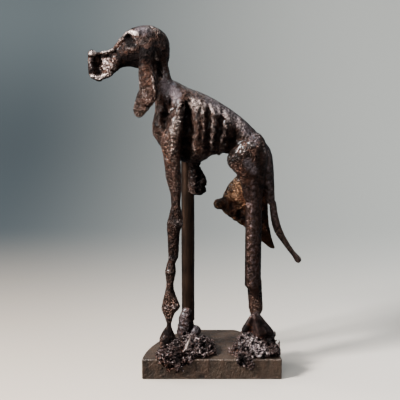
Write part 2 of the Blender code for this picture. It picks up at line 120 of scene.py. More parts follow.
def melt(name, nodes, cell, swell=0.35 * MM, blobs=()):
    """One skin over copies of the named solids, and over round blobs (x, y, height, radius)."""
    mesh = bpy.data.meshes.new(name)
    whole = bmesh.new()
    for x, y, height, radius in blobs:
        centre = Matrix.Translation((x * MM, y * MM, PLATE_TOP + height * MM))
        bmesh.ops.create_icosphere(whole, subdivisions=3, radius=radius * MM, matrix=centre)
    for node in nodes:
        shape = merged_copy(node, swell)
        shape.to_mesh(mesh)
        shape.free()
        whole.from_mesh(mesh)
    whole.to_mesh(mesh)
    whole.free()
    piece = new_piece(name, mesh)
    flow_over(piece, cell)
    shade_smooth(piece.data)
    return piece


FIGURE_NODES = ("body", "head", "near_ear", "far_ear", "near_foreleg", "far_elbow", "near_hind_leg", "tail")
# With a cell of 0.74 mm the hound would have more than 200,000 triangles.
hound = melt("hound", FIGURE_NODES, cell=0.83 * MM)
folded_leg = melt("folded_leg", ("lifted_hind_leg",), cell=0.74 * MM)
for piece in (hound, folded_leg):
    print(piece.name, len(piece.data.polygons) * 2, "triangles")

# %% [markdown]
# The solids' flat facets still show through, so the skin is smoothed. Plain smoothing would eat the
# thin tail and ankles. Pushing back after every pull takes out the facets and keeps the volume.
# It runs on arrays, which is far quicker than one vertex at a time.

# %% Smoothing without loss
def points_of(piece):
    flat = np.empty(len(piece.data.vertices) * 3)
    piece.data.vertices.foreach_get("co", flat)
    return flat.reshape(-1, 3)


def normals_of(piece):
    flat = np.empty(len(piece.data.vertices) * 3)
    piece.data.vertex_normals.foreach_get("vector", flat)
    return flat.reshape(-1, 3)


def place_points(piece, points):
    piece.data.vertices.foreach_set("co", points.reshape(-1))
    piece.data.update()


def edges_of(piece):
    flat = np.empty(len(piece.data.edges) * 2, dtype=np.int64)
    piece.data.edges.foreach_get("vertices", flat)
    return flat.reshape(-1, 2)


def neighbour_mean(values, edges):
    """For every point, the mean of the values at the other ends of its edges."""
    count = len(values)
    degree = np.bincount(edges.reshape(-1), minlength=count)[:, None]
    total = np.empty_like(values)
    for axis in range(values.shape[1]):
        there = np.bincount(edges[:, 0], values[edges[:, 1], axis], count)
        back = np.bincount(edges[:, 1], values[edges[:, 0], axis], count)
        total[:, axis] = there + back
    return total / np.maximum(degree, 1)


def soften(piece, rounds, give=0.53):
    """Smooths by pulling towards the neighbours, then pushing back as far."""
    edges = edges_of(piece)
    points = points_of(piece)
    for _ in range(rounds):
        points += 0.5 * (neighbour_mean(points, edges) - points)
        points -= give * (neighbour_mean(points, edges) - points)
    place_points(piece, points)


FACET_ROUNDS = 40
for piece in (hound, folded_leg):
    soften(piece, FACET_ROUNDS)
print("facets smoothed away in", FACET_ROUNDS, "rounds")

# %% [markdown]
# Now the modelling that a welder does with torch and grinder: hollows between the bones, ribs,
# brows, folds and cuts. Each is a stroke, a line of (x, z) points with a width and a depth, worked
# into the side that it names. A positive depth sinks a hollow and a negative one raises a bead.

# %% Strokes
def away_from(points, stroke):
    """How far each (x, z) point lies from a stroke."""
    line = np.array(stroke, float)
    nearest = np.full(len(points), 1e9)
    for start, end in zip(line, line[1:]):
        run = end - start
        share = ((points - start) @ run / (run @ run)).clip(0, 1)
        gap = points - (start + share[:, None] * run)
        nearest = np.minimum(nearest, np.hypot(gap[:, 0], gap[:, 1]))
    return nearest


NEAR, ROUND, FAR = -1, 0, 1


def carve(piece, strokes, low_y=-99, high_y=99):
    """Works strokes into one side of a piece, or all round it, between two depths of the figure."""
    points = points_of(piece)
    x, depth_y, z = (points - (0, 0, PLATE_TOP)).T / MM
    wander_x = 0.7 * np.sin(z * 0.83 + x * 0.31) + 0.5 * np.sin(z * 1.9 + depth_y * 0.6)
    wander_z = 0.7 * np.sin(x * 0.77 + depth_y * 0.45) + 0.5 * np.sin(x * 1.7 + z * 0.4)
    grid = np.column_stack((x + wander_x, z + wander_z))
    uneven = 0.8 + 0.35 * np.sin(x * 0.57 + z * 0.43 + depth_y * 0.2)
    for side, stroke, width, depth in strokes:
        normals = normals_of(piece)
        share = (1 - (away_from(grid, stroke) / (width * 1.25)) ** 2).clip(0, 1) ** 2 * uneven * 0.8
        if side != ROUND:
            share *= (side * normals[:, 1] * 1.6).clip(0, 1)
        share *= (depth_y > low_y) & (depth_y < high_y)
        points -= normals * (share * depth * MM)[:, None]
        place_points(piece, points)


print("strokes go on the near side, the far side or all round:", NEAR, FAR, ROUND)

# %% [markdown]
# The trunk is a cage of bent rods with dark gaps between them. Each rib here is a pair of strokes,
# a raised bar and the hollow beside it. The hindmost lean towards the head as they go down. The rump
# and thigh are calmer, so they get a few broad, shallow strokes.

# %% Trunk and rump
TRUNK_STROKES = (
    (NEAR, ((-37.7, 236.5), (-41.3, 229.3), (-43.1, 218.4)), 3.6, 4.0),
    (NEAR, ((-28.8, 235.1), (-33.3, 222.4), (-36.0, 211.5)), 3.6, -1.6),
    (NEAR, ((-27.0, 232.3), (-23.0, 235.2), (-19.0, 236.8)), 1.4, 2.6),
    (NEAR, ((-22.6, 234.7), (-23.5, 222.0), (-20.9, 212.9), (-22.7, 200.1), (-23.6, 188.1)), 4.5, 3.0),
    (NEAR, ((-13.7, 234.9), (-12.8, 220.4), (-13.7, 206.7), (-15.5, 194.8)), 3.2, -1.5),
    (NEAR, ((-10.9, 228.0), (-9.8, 214.0), (-10.6, 203.0)), 2.0, 1.6),
    (NEAR, ((-8.4, 231.3), (-6.6, 215.8), (-7.5, 202.1)), 2.6, -1.0),
    (NEAR, ((-3.5, 231.3), (-3.0, 215.8), (-3.9, 192.9)), 2.6, 2.6),
    (NEAR, ((0.5, 227.6), (0.6, 213.1), (-1.2, 197.5)), 3.2, -1.5),
    (NEAR, ((8.5, 225.8), (6.8, 213.1), (3.3, 197.5)), 2.6, 2.6),
    (NEAR, ((13.9, 224.0), (10.4, 211.3), (6.0, 196.6)), 3.4, -1.8),
    (NEAR, ((21.0, 219.5), (16.7, 208.5), (11.4, 195.7)), 2.8, 2.6),
    (NEAR, ((25.5, 218.6), (21.1, 207.6), (14.0, 196.6)), 3.0, -1.6),
    (NEAR, ((23.0, 208.1), (17.7, 197.1)), 4.0, 2.4),
    (NEAR, ((-23.5, 243.8), (-11.0, 238.4), (3.2, 233.0), (17.6, 225.7), (30.2, 213.8)), 4.5, -1.2),
    (NEAR, ((35.6, 200.0), (27.0, 190.5), (20.0, 184.0)), 4.0, -1.1),
    (NEAR, ((14.1, 178.4), (21.4, 173.8)), 3.5, -1.2),
    (NEAR, ((44.7, 195.9), (44.0, 178.3), (44.3, 154.9), (43.7, 131.3), (45.8, 109.3)), 3.0, 1.4),
    (NEAR, ((26.1, 164.3), (29.9, 147.4), (33.7, 131.3)), 1.6, -0.7),
)
RUMP_STROKES = (
    (NEAR, ((50.6, 190.1), (52.9, 161.9), (51.4, 138.2)), 3.0, -1.0),
)
print("trunk and rump:", len(TRUNK_STROKES) + len(RUMP_STROKES), "strokes")

# %% [markdown]
# The head is read by its nose, its flared lip and its brow, so those get the finest strokes. The
# eye is only a dark pit under the brow. The ears have a few folds across them.

# %% Head and ears
HEAD_STROKES = (
    (NEAR, ((-102.3, 273.0), (-102.5, 267.0), (-101.8, 262.5)), 4.2, 5.0),
    (NEAR, ((-103.1, 273.8), (-97.7, 274.8), (-91.1, 275.6), (-87.5, 279.0)), 2.0, 3.2),
    (NEAR, ((-107.6, 277.2), (-104.8, 276.8)), 3.0, -2.6),
    (NEAR, ((-107.8, 272.4), (-107.6, 263.4)), 2.4, -1.6),
    (NEAR, ((-92.5, 269.5), (-90.0, 265.5)), 7.5, -3.6),
    (NEAR, ((-108.5, 257.8), (-104.0, 255.6), (-99.0, 255.4), (-95.0, 257.3), (-90.5, 260.0)), 2.4, -3.2),
    (NEAR, ((-107.0, 251.8), (-101.0, 249.8), (-95.6, 251.8), (-88.0, 256.6), (-81.5, 261.0)), 2.6, 2.2),
    (NEAR, ((-101.0, 278.6), (-92.2, 278.8), (-87.9, 281.6), (-84.7, 285.4)), 2.0, -2.0),
    (NEAR, ((-75.0, 291.6), (-72.4, 288.6)), 4.6, 3.6),
    (NEAR, ((-81.0, 289.5), (-77.5, 294.0), (-71.0, 297.0), (-65.0, 296.5)), 2.6, -2.4),
    (NEAR, ((-80.0, 270.0), (-70.0, 266.5), (-63.0, 264.5)), 3.5, 1.4),
    (NEAR, ((-47.5, 268.5), (-46.5, 260.0)), 2.8, 4.5),
)
EAR_STROKES = (
    (NEAR, ((-64.0, 248.6), (-57.0, 245.0), (-49.9, 245.9)), 2.6, 1.2),
    (NEAR, ((-64.2, 235.1), (-58.1, 231.5), (-52.7, 233.3)), 1.8, 1.4),
    (NEAR, ((-58.3, 283.2), (-61.1, 272.6), (-62.2, 258.4)), 3.0, -1.0),
)
print("head and ears:", len(HEAD_STROKES) + len(EAR_STROKES), "strokes")

# %% [markdown]
# The near foreleg has knots where one bit of metal was welded to the next. The bar of the hind leg
# keeps fine lines along it. Behind the brisket the metal ends in a torn, ragged edge, and most of
# those strokes go all round, so that they bite into the outline as well.

# %% Legs and the ragged edge
FORELEG_STROKES = (
    (NEAR, ((-37.9, 192.9), (-39.8, 179.1)), 3.0, -1.0),
    (NEAR, ((-40.2, 126.5), (-25.6, 126.5)), 2.4, -1.3),
    (NEAR, ((-40.4, 91.9), (-29.4, 91.9)), 2.2, -1.2),
    (NEAR, ((-40.5, 78.3), (-33.2, 78.3)), 2.0, -1.0),
    (NEAR, ((-42.6, 44.0), (-29.6, 44.0)), 2.4, -1.2),
    (NEAR, ((-48.5, 13.1), (-33.5, 13.1)), 3.0, -0.8),
)
HIND_LEG_STROKES = (
    (NEAR, ((31.5, 158.0), (31.8, 110.0), (32.6, 62.0)), 1.2, -0.3),
    (NEAR, ((34.0, 160.0), (34.2, 108.0), (34.8, 60.0)), 1.2, 0.5),
    (NEAR, ((37.0, 164.0), (36.8, 112.0), (37.4, 60.0)), 1.3, -0.25),
    (NEAR, ((40.0, 168.0), (39.8, 118.0), (39.8, 60.0)), 1.3, 0.5),
)
RAGGED_STROKES = (
    (ROUND, ((-4.5, 151.5), (-7.0, 152.5)), 1.8, 2.4),
    (ROUND, ((-6.0, 172.0), (-9.0, 170.0)), 2.4, 2.6),
    (ROUND, ((-3.0, 157.5), (-2.0, 157.0)), 2.0, -2.0),
    (ROUND, ((-6.5, 147.0), (-6.0, 146.0)), 2.0, -2.4),
    (ROUND, ((-12.0, 148.0), (-14.0, 147.0)), 1.8, 1.8),
    (ROUND, ((-3.5, 165.0), (-5.0, 164.0)), 1.8, -1.4),
    (ROUND, ((-0.5, 181.0), (2.0, 183.0)), 1.8, 2.0),
    (ROUND, ((6.0, 185.0), (7.0, 184.0)), 2.0, -1.8),
    (ROUND, ((11.0, 186.0), (12.0, 187.0)), 1.6, 1.8),
    (ROUND, ((16.0, 184.5), (17.0, 184.0)), 2.0, -1.4),
    (NEAR, ((-16.0, 172.0), (-11.0, 166.0), (-13.0, 155.0)), 2.0, 2.0),
    (NEAR, ((-9.0, 176.0), (-6.0, 166.0), (-8.0, 156.0)), 1.8, -1.6),
    (NEAR, ((-18.0, 165.0), (-17.0, 152.0)), 1.6, -1.4),
)
FOLDED_STROKES = (
    (NEAR, ((14.8, 153.3), (18.6, 143.7), (13.1, 136.0)), 3.0, -1.0),
    (NEAR, ((23.3, 126.3), (29.0, 116.6)), 3.0, 1.6),
    (NEAR, ((9.4, 131.2), (26.2, 116.6)), 2.2, -1.0),
)
print("legs:", len(FORELEG_STROKES) + len(HIND_LEG_STROKES) + len(FOLDED_STROKES), "strokes")
print("ragged edge:", len(RAGGED_STROKES), "strokes")

# %% [markdown]
# Both sides of the hound are carved, because it is looked at from all round. The far side repeats
# the near strokes less deeply. Depth limits keep a stroke on its own ear or leg, and out of what
# stands behind it. A last light smoothing takes the hardness off, as a wire brush would.

# %% Carving
MIDDLE = 2
NEAR_EAR_BACK = -10
FAR_EAR_FRONT = 12
FORELEG_BACK = -6


def other_side(strokes, share):
    """The same strokes on the far side, shallower."""
    return [(FAR, stroke, width, depth * share) for _, stroke, width, depth in strokes]


carve(hound, TRUNK_STROKES + RUMP_STROKES, high_y=MIDDLE)
carve(hound, other_side(TRUNK_STROKES, 0.6), low_y=MIDDLE)
carve(hound, HEAD_STROKES, high_y=MIDDLE)
carve(hound, other_side(HEAD_STROKES, 0.7), low_y=MIDDLE)
carve(hound, EAR_STROKES, high_y=NEAR_EAR_BACK)
carve(hound, other_side(EAR_STROKES, 0.8), low_y=FAR_EAR_FRONT)
carve(hound, FORELEG_STROKES, high_y=FORELEG_BACK)
carve(hound, HIND_LEG_STROKES, high_y=MIDDLE)
carve(hound, RAGGED_STROKES)
carve(folded_leg, FOLDED_STROKES)
soften(hound, 6)
print("carved the trunk, head, ears and legs")

# %% [markdown]
# Weld metal is never smooth. It freezes in beads a few millimetres across, with small pits between
# them. Geometry Nodes push the skin in and out along its normals by two noises: a soft one for the
# beads and a cellular one for the pits. An attribute says where the skin is rough, because the
# straight bars and the ground patches stay nearly plain.

# %% Short ways to build node trees
def put(tree, kind, values=None, **settings):
    """Adds a node. A value that is a socket is linked, and any other is set."""
    node = tree.nodes.new(kind)
    for key, value in settings.items():
        setattr(node, key, value)
    for key, value in (values or {}).items():
        if isinstance(value, bpy.types.NodeSocket):
            tree.links.new(value, node.inputs[key])
        else:
            node.inputs[key].default_value = value
    return node


def reckon(tree, operation, first, second):
    """One sum in a node tree, such as ADD, MULTIPLY or MINIMUM."""
    return put(tree, "ShaderNodeMath", {0: first, 1: second}, operation=operation).outputs[0]


def new_tree(name, floats):
    """A Geometry Nodes tree with a material input and named numbers."""
    tree = bpy.data.node_groups.new(name, "GeometryNodeTree")
    sockets = tree.interface
    sockets.new_socket("Geometry", in_out="INPUT", socket_type="NodeSocketGeometry")
    sockets.new_socket("Geometry", in_out="OUTPUT", socket_type="NodeSocketGeometry")
    for label, value in floats.items():
        kind = "NodeSocketInt" if isinstance(value, int) else "NodeSocketFloat"
        sockets.new_socket(label, in_out="INPUT", socket_type=kind).default_value = value
    sockets.new_socket("Material", in_out="INPUT", socket_type="NodeSocketMaterial")
    return tree, tree.nodes.new("NodeGroupInput"), tree.nodes.new("NodeGroupOutput")


def finish_tree(tree, geometry, source, out):
    """Realize Instances, Set Material and the output, which every tree ends in."""
    real = put(tree, "GeometryNodeRealizeInstances", {"Geometry": geometry})
    coat = put(
        tree, "GeometryNodeSetMaterial",
        {"Geometry": real.outputs[0], "Material": source.outputs["Material"]},
    )
    tree.links.new(coat.outputs[0], out.inputs[0])


def run_tree(piece, tree, values):
    """Runs a tree on a piece with its inputs set by identifier, and keeps plain mesh."""
    nodes = piece.modifiers.new(tree.name, "NODES")
    nodes.node_group = tree
    for item in tree.interface.items_tree:
        if item.item_type == "SOCKET" and item.in_out == "INPUT" and item.name in values:
            nodes[item.identifier] = values[item.name]
    plain_mesh(piece)


print("helpers for node trees ready")

# %% [markdown]
# This tree is the weld skin itself. Its sizes are inputs with names, so that the slag at the feet can
# use the same tree later, with coarser beads and deeper pits. The seed moves the noises to another
# place, so that no two pieces show the same beads.

# %% The weld skin
WELD = {
    "Bead Size": 5.5 * MM, "Bead Depth": 0.9 * MM, "Pit Size": 2.1 * MM, "Pit Depth": 0.55 * MM, "Seed": 3,
}
weld_tree, entry, out = new_tree("weld_skin", WELD)
rough = put(weld_tree, "GeometryNodeInputNamedAttribute", {"Name": "rough"}, data_type="FLOAT")
place = weld_tree.nodes.new("GeometryNodeInputPosition")
normal = weld_tree.nodes.new("GeometryNodeInputNormal")
bead_scale = reckon(weld_tree, "DIVIDE", 1.0, entry.outputs["Bead Size"])
pit_scale = reckon(weld_tree, "DIVIDE", 1.0, entry.outputs["Pit Size"])
beads = put(
    weld_tree, "ShaderNodeTexNoise",
    {"Vector": place.outputs[0], "W": entry.outputs["Seed"], "Scale": bead_scale, "Detail": 2.0},
    noise_dimensions="4D",
)
pits = put(
    weld_tree, "ShaderNodeTexVoronoi",
    {"Vector": place.outputs[0], "W": entry.outputs["Seed"], "Scale": pit_scale},
    voronoi_dimensions="4D", feature="SMOOTH_F1",
)
swing = reckon(weld_tree, "SUBTRACT", beads.outputs[0], 0.5)
swing = reckon(weld_tree, "MULTIPLY", swing, entry.outputs["Bead Depth"])
sink = put(
    weld_tree, "ShaderNodeMapRange",
    {"Value": pits.outputs["Distance"], "From Min": 0.1, "From Max": 0.5, "To Min": -1.0, "To Max": 0.0},
)
sink = reckon(weld_tree, "MULTIPLY", sink.outputs[0], entry.outputs["Pit Depth"])
push = reckon(weld_tree, "MULTIPLY", reckon(weld_tree, "ADD", swing, sink), rough.outputs[0])
offset = put(weld_tree, "ShaderNodeVectorMath", {0: normal.outputs[0], "Scale": push}, operation="SCALE")
moved = put(
    weld_tree, "GeometryNodeSetPosition",
    {"Geometry": entry.outputs["Geometry"], "Offset": offset.outputs[0]},
)
finish_tree(weld_tree, moved.outputs[0], entry, out)
print("weld skin tree:", len(weld_tree.nodes), "nodes")

# %% [markdown]
# The steel was left to darken and then rubbed, so its hollows are nearly black and its edges shine.
# Where the light catches them they look pinkish, and the patina turns umber, red and straw in
# patches. Wear follows the form, so each point stores how far it stands proud of its surroundings,
# and the material reads that attribute. What the form can't tell is painted in strokes on the side
# view, each with a reach and a value, which fill further attributes.

# %% Wear and hollows as attributes
def mark(piece, name, values):
    """Stores one number a point as an attribute."""
    layer = piece.data.attributes.get(name) or piece.data.attributes.new(name, "FLOAT", "POINT")
    layer.data.foreach_set("value", np.ascontiguousarray(values, dtype=np.float32))


def painted(piece, start, strokes, high_y=99):
    """One number a point: start everywhere, eased towards the value of each (stroke, reach, value)."""
    points = points_of(piece)
    here = points[:, 1] / MM < high_y
    grid = np.column_stack((points[:, 0], points[:, 2] - PLATE_TOP)) / MM
    values = np.full(len(points), float(start))
    for stroke, reach, value in strokes:
        away = away_from(grid, stroke) / reach
        values += (value - values) * (1 - away * away).clip(0, 1) ** 0.7 * here
    return values


def standing_proud(piece, rounds):
    """How far each point stands above its smoothed surroundings, in millimetres."""
    edges = edges_of(piece)
    points = points_of(piece)
    smooth = points.copy()
    for _ in range(rounds):
        smooth += 0.5 * (neighbour_mean(smooth, edges) - smooth)
    return ((points - smooth) * normals_of(piece)).sum(axis=1) / MM


def mark_wear(piece, fine=5, broad=40, contrast=1.0, shade=0.0, calm=()):
    """Stores wear and hollow: fine relief decides them, and broad relief shifts them a little."""
    close = standing_proud(piece, fine) * contrast
    wide = standing_proud(piece, broad) * contrast
    if "rough" not in piece.data.attributes:
        mark(piece, "rough", np.ones(len(piece.data.vertices)))
    skin = np.empty(len(piece.data.vertices), dtype=np.float32)
    piece.data.attributes["rough"].data.foreach_get("value", skin)
    share = (0.15 + 0.85 * skin).clip(0, 1)
    share *= painted(piece, 1.0, calm)
    mark(piece, "wear", (close + wide * 0.18 - 0.14).clip(0, 1) * share)
    mark(piece, "hollow", (-close * 1.6 - wide * 0.50 - 0.05 + shade).clip(0, 1) * share)


print("wear can be measured and patches painted")

# %% [markdown]
# One steel serves every piece, mixed with other colours for each finish. It is laid in the order in
# which the real surface came about: dark scale, umber and red patina by noises of two sizes, the
# painted patches, which also hold painted highlight and sheen, bright metal where the wear is high,
# and soot with painted shade last. Noise frays the painted patches, so that none has a clean edge.
# A thin clear coat gives a waxed gloss, and ends in the soot and painted shade.

# %% Patinated steel
def mix(tree, share, first, second):
    node = put(tree, "ShaderNodeMix", data_type="RGBA")
    for key, value in ((0, share), (6, first), (7, second)):
        if isinstance(value, bpy.types.NodeSocket):
            tree.links.new(value, node.inputs[key])
        else:
            node.inputs[key].default_value = value if key == 0 else (*value, 1.0)
    return node.outputs[2]


def noise(tree, coords, scale, detail=3.0, low=0.35, high=0.65):
    """A noise stretched to run from 0 to 1."""
    made = put(tree, "ShaderNodeTexNoise", {"Vector": coords, "Scale": scale, "Detail": detail})
    ramp = put(tree, "ShaderNodeMapRange", {"Value": made.outputs[0], "From Min": low, "From Max": high})
    return ramp.outputs[0]


def reading(tree, name):
    return put(tree, "ShaderNodeAttribute", attribute_name=name).outputs["Fac"]


def flecked(tree, name, flecks, gain, loss):
    """An attribute with noise taken away from it, so that a painted patch frays at its edge."""
    gained = reckon(tree, "MULTIPLY", reading(tree, name), gain)
    frayed = reckon(tree, "SUBTRACT", gained, reckon(tree, "MULTIPLY", flecks, loss))
    return reckon(tree, "MINIMUM", reckon(tree, "MAXIMUM", frayed, 0.0), 1.0)


PATCH_TINTS = {"rust": (0.105, 0.038, 0.018), "lilac_temper_and_sheen": (0.175, 0.138, 0.144), "rubbed_and_highlight": (0.74, 0.57, 0.50)}


def steel(name, dark, umber, red, shine, rough=0.30, bump=0.35, stretch=(1, 1, 1), metal=0.92, patch_tints=PATCH_TINTS):
    """Dark rubbed steel: patches of patina with painted highlight, sheen and shade, bright where worn, black
    in the hollows.
    """
    made = bpy.data.materials.new(name)
    made.use_nodes = True
    tree = made.node_tree
    shader = tree.nodes["Principled BSDF"]
    coords = tree.nodes.new("ShaderNodeTexCoord").outputs["Object"]
    turned = put(tree, "ShaderNodeMapping", {"Vector": coords, "Scale": stretch}).outputs[0]
    patches = noise(tree, coords, 42)
    mottle = noise(tree, turned, 210, 4)
    fleck = noise(tree, turned, 430, 3, 0.38, 0.62)
    grain = noise(tree, turned, 700, 3, 0.40, 0.62)
    gaps = reckon(tree, "SUBTRACT", 0.94, reckon(tree, "MULTIPLY", grain, 0.88))
    gaps = reckon(tree, "MULTIPLY", gaps, reckon(tree, "MINIMUM", reading(tree, "rough"), 1.0))
    broken = reckon(tree, "SUBTRACT", 1.0, gaps)
    colour = mix(tree, patches, dark, umber)
    colour = mix(tree, reckon(tree, "MULTIPLY", mottle, 0.6), colour, red)
    # These patches are partly rubbed metal, temper colour and rust, and partly painted highlight and painted
    # sheen laid into the colour.
    for place, tint in patch_tints.items():
        patch = reckon(tree, "MULTIPLY", flecked(tree, place, fleck, 1.5, 0.8), broken)
        colour = mix(tree, patch, colour, tint)
    worn = reckon(tree, "MULTIPLY", reading(tree, "wear"), broken)
    colour = mix(tree, worn, colour, shine)
    # The soot attribute also carries painted shade, mixed in near black like the hollows.
    deep = reckon(tree, "MAXIMUM", reading(tree, "hollow"), flecked(tree, "soot_and_shade", mottle, 1.35, 0.55))
    colour = mix(tree, reckon(tree, "MULTIPLY", deep, 0.96), colour, (0.003, 0.002, 0.002))
    tree.links.new(colour, shader.inputs["Base Color"])
    dull = reckon(tree, "ADD", reckon(tree, "MULTIPLY", mottle, 0.12), rough)
    dull = reckon(tree, "ADD", dull, reckon(tree, "MULTIPLY", deep, 0.35))
    dull = reckon(tree, "ADD", dull, reckon(tree, "MULTIPLY", reading(tree, "lilac_temper_and_sheen"), 0.22))
    tree.links.new(dull, shader.inputs["Roughness"])
    shader.inputs["Metallic"].default_value = metal
    coat = reckon(tree, "SUBTRACT", 0.30, reckon(tree, "MULTIPLY", deep, 0.30))
    tree.links.new(coat, shader.inputs["Coat Weight"])
    shader.inputs["Coat Roughness"].default_value = 0.18
    height = reckon(tree, "ADD", grain, reckon(tree, "MULTIPLY", mottle, 1.4))
    depth = reckon(tree, "MULTIPLY", reading(tree, "rough"), bump)
    relief = put(tree, "ShaderNodeBump", {"Height": height, "Strength": depth, "Distance": 0.9 * MM})
    tree.links.new(relief.outputs[0], shader.inputs["Normal"])
    return made


DARK_STEEL = steel(
    "rubbed_dark_steel", dark=(0.023, 0.015, 0.012), umber=(0.062, 0.036, 0.026), red=(0.084, 0.037, 0.025),
    shine=(0.74, 0.57, 0.50), rough=0.24, bump=0.9,
)
STRAW_STEEL = steel(
    "straw_steel", dark=(0.020, 0.010, 0.006), umber=(0.125, 0.050, 0.023), red=(0.110, 0.038, 0.018),
    shine=(0.80, 0.55, 0.33), rough=0.24, bump=0.9, patch_tints={"rubbed_and_highlight": (0.60, 0.32, 0.17)},
)
print("two steels mixed")

# %% [markdown]
# The skin is dressed now. Where the real figure is bar or ground flat, the rough attribute is low,
# so the beads stay off it, and at the ragged edge it is high. Each row is a stroke on the side view,
# how far it reaches in millimetres, and the value at its middle.

# %% Where the skin is rough
SKIN_ROUGH = (
    (((38, 160), (38, 62)), 13, 0.2),
    (((-42, 252), (-32, 243)), 9, 0.45),
    (((0, 234), (30, 214)), 9, 0.6),
    (((20, 186), (36, 190)), 9, 0.7),
    (((30, 181), (36, 172)), 9, 0.45),
    (((50, 190), (52, 150)), 12, 0.4),
    (((66, 130), (84, 88)), 16, 0.35),
    (((-74, 284), (-58, 292)), 19, 0.75),
    (((-74, 297), (-62, 299)), 5, 0.3),
    (((-106, 270), (-84, 272)), 17, 0.5),
    (((-57, 252), (-60, 232)), 12, 1.3),
    (((-16, 176), (-12, 150)), 14, 2.4),
    (((-2, 186), (22, 184)), 7, 2.6),
    (((-40, 20), (-38, 8)), 10, 0.5),
)
print("roughness painted in", len(SKIN_ROUGH), "strokes")

# %% [markdown]
# Two tables hold the light patches. The first is metal rubbed bright together with painted
# highlights, on the brow, the nose, the lip, the ear's edge and the ribs. The second is the lilac
# temper colour of heated steel together with a painted lilac sheen, and it sits beside the bright places.

# %% Pale and lilac patches, with painted highlight and sheen
# Painted highlights: besides rubbed metal, these strokes lay bright colour where the light catches the brow,
# nose, lip rim, ear edge, upper arm and ribs.
RUBBED_AND_HIGHLIGHT = (
    (((-18, 234.5), (-10, 231)), 6.0, 1.0),
    (((-8, 232), (4, 229), (16, 222), (26, 214)), 4.5, 0.42),
    (((-30, 222), (-35.5, 209)), 5, 0.6),
    (((-38, 205), (-35, 190)), 6, 0.35),
    (((-107.6, 278.0), (-105.6, 277.8)), 2.6, 1.1),
    (((-99.0, 279.6), (-92.2, 279.6), (-88.6, 281.6)), 1.1, 0.9),
    (((-108.2, 258.2), (-101.0, 256.6), (-92.3, 260.8)), 2.0, 1.1),
    (((-92.3, 260.8), (-86.0, 265.6)), 1.4, 0.6),
    (((-93.5, 270), (-90.5, 265)), 7.0, 0.44),
    (((-75.5, 284.6), (-71.0, 284.0)), 2.8, 0.5),
    (((-80.5, 290.5), (-77.4, 294.4)), 1.5, 0.6),
    (((-72.5, 297.0), (-66.5, 296.2)), 2.4, 0.9),
    (((-57, 301.5), (-47, 297.5)), 3.0, 0.42),
    (((-51, 281), (-48.5, 273)), 2.0, 0.7),
    (((-53, 259.6), (-50.5, 246.5)), 2.0, 0.6),
    (((26.3, 189.3), (35.6, 199.0)), 2.0, 0.12),
    (((-34, 125), (-28, 127)), 4, 0.4),
    (((-64, 253), (-58, 240)), 4, 0.35),
)
# Painted sheen: besides the temper colour, these strokes lay a lilac sheen on the back, crown, neck and
# thigh, where those faces catch the light.
LILAC_TEMPER_AND_SHEEN = (
    (((-41, 248), (-35, 241)), 9.0, 1.25),
    (((-107.0, 272), (-107.0, 264)), 3.2, 0.6),
    (((-95.5, 271), (-90.5, 264)), 7.0, 0.4),
    (((-64.5, 298.5), (-57, 298.5)), 5.5, 1.0),
    (((-43.5, 265), (-42.5, 256)), 2.6, 1.0),
    (((-4, 235), (14, 225), (30, 212), (38, 202)), 6.5, 0.85),
    (((32, 181), (37, 175)), 6.0, 0.75),
    (((51, 190), (55, 120)), 7.0, 0.45),
    (((37, 160), (38, 66)), 7.0, 0.42),
    (((-32, 125), (-27, 125)), 4, 0.9),
    (((-40, 92), (-32, 92)), 3, 0.7),
    (((-34, 44), (-42, 44)), 3, 0.5),
)
print("light patina:", len(RUBBED_AND_HIGHLIGHT) + len(LILAC_TEMPER_AND_SHEEN), "strokes")

# %% [markdown]
# Two more hold the dark patches. Rust warms the steel in patches. Soot and painted shade fill the
# deep places: the mouth, the eye, the gaps between the ribs, the cheek under the brow, and the shaded
# side of the legs. The folded leg lies on the far side, behind the figure, so it has two small
# tables of its own, with painted highlight on its top and painted shade below.

# %% Rust, soot and painted shade
RUST = (
    (((-60, 270), (-58, 258)), 8, 0.7),
    (((-40, 205), (-42, 180)), 7, 0.8),
    (((-12, 215), (-14, 195)), 8, 0.6),
    (((36, 165), (36, 100)), 6, 0.3),
    (((20, 175), (30, 166)), 7, 0.6),
    (((-36, 160), (-34, 90)), 6, 0.4),
    (((-44, 240), (-40, 232)), 4, 0.8),
    (((35, 36), (36, 18)), 5, 1.0),
    (((-76, 277), (-66, 276)), 9, 0.8),
    (((-93, 270), (-90, 264)), 8, 0.6),
    (((38, 160), (38, 66)), 8, 0.5),
    (((-107.0, 272), (-107.0, 264)), 3.2, 0.5),
    (((-85, 284), (-78, 288)), 4, 0.8),
)
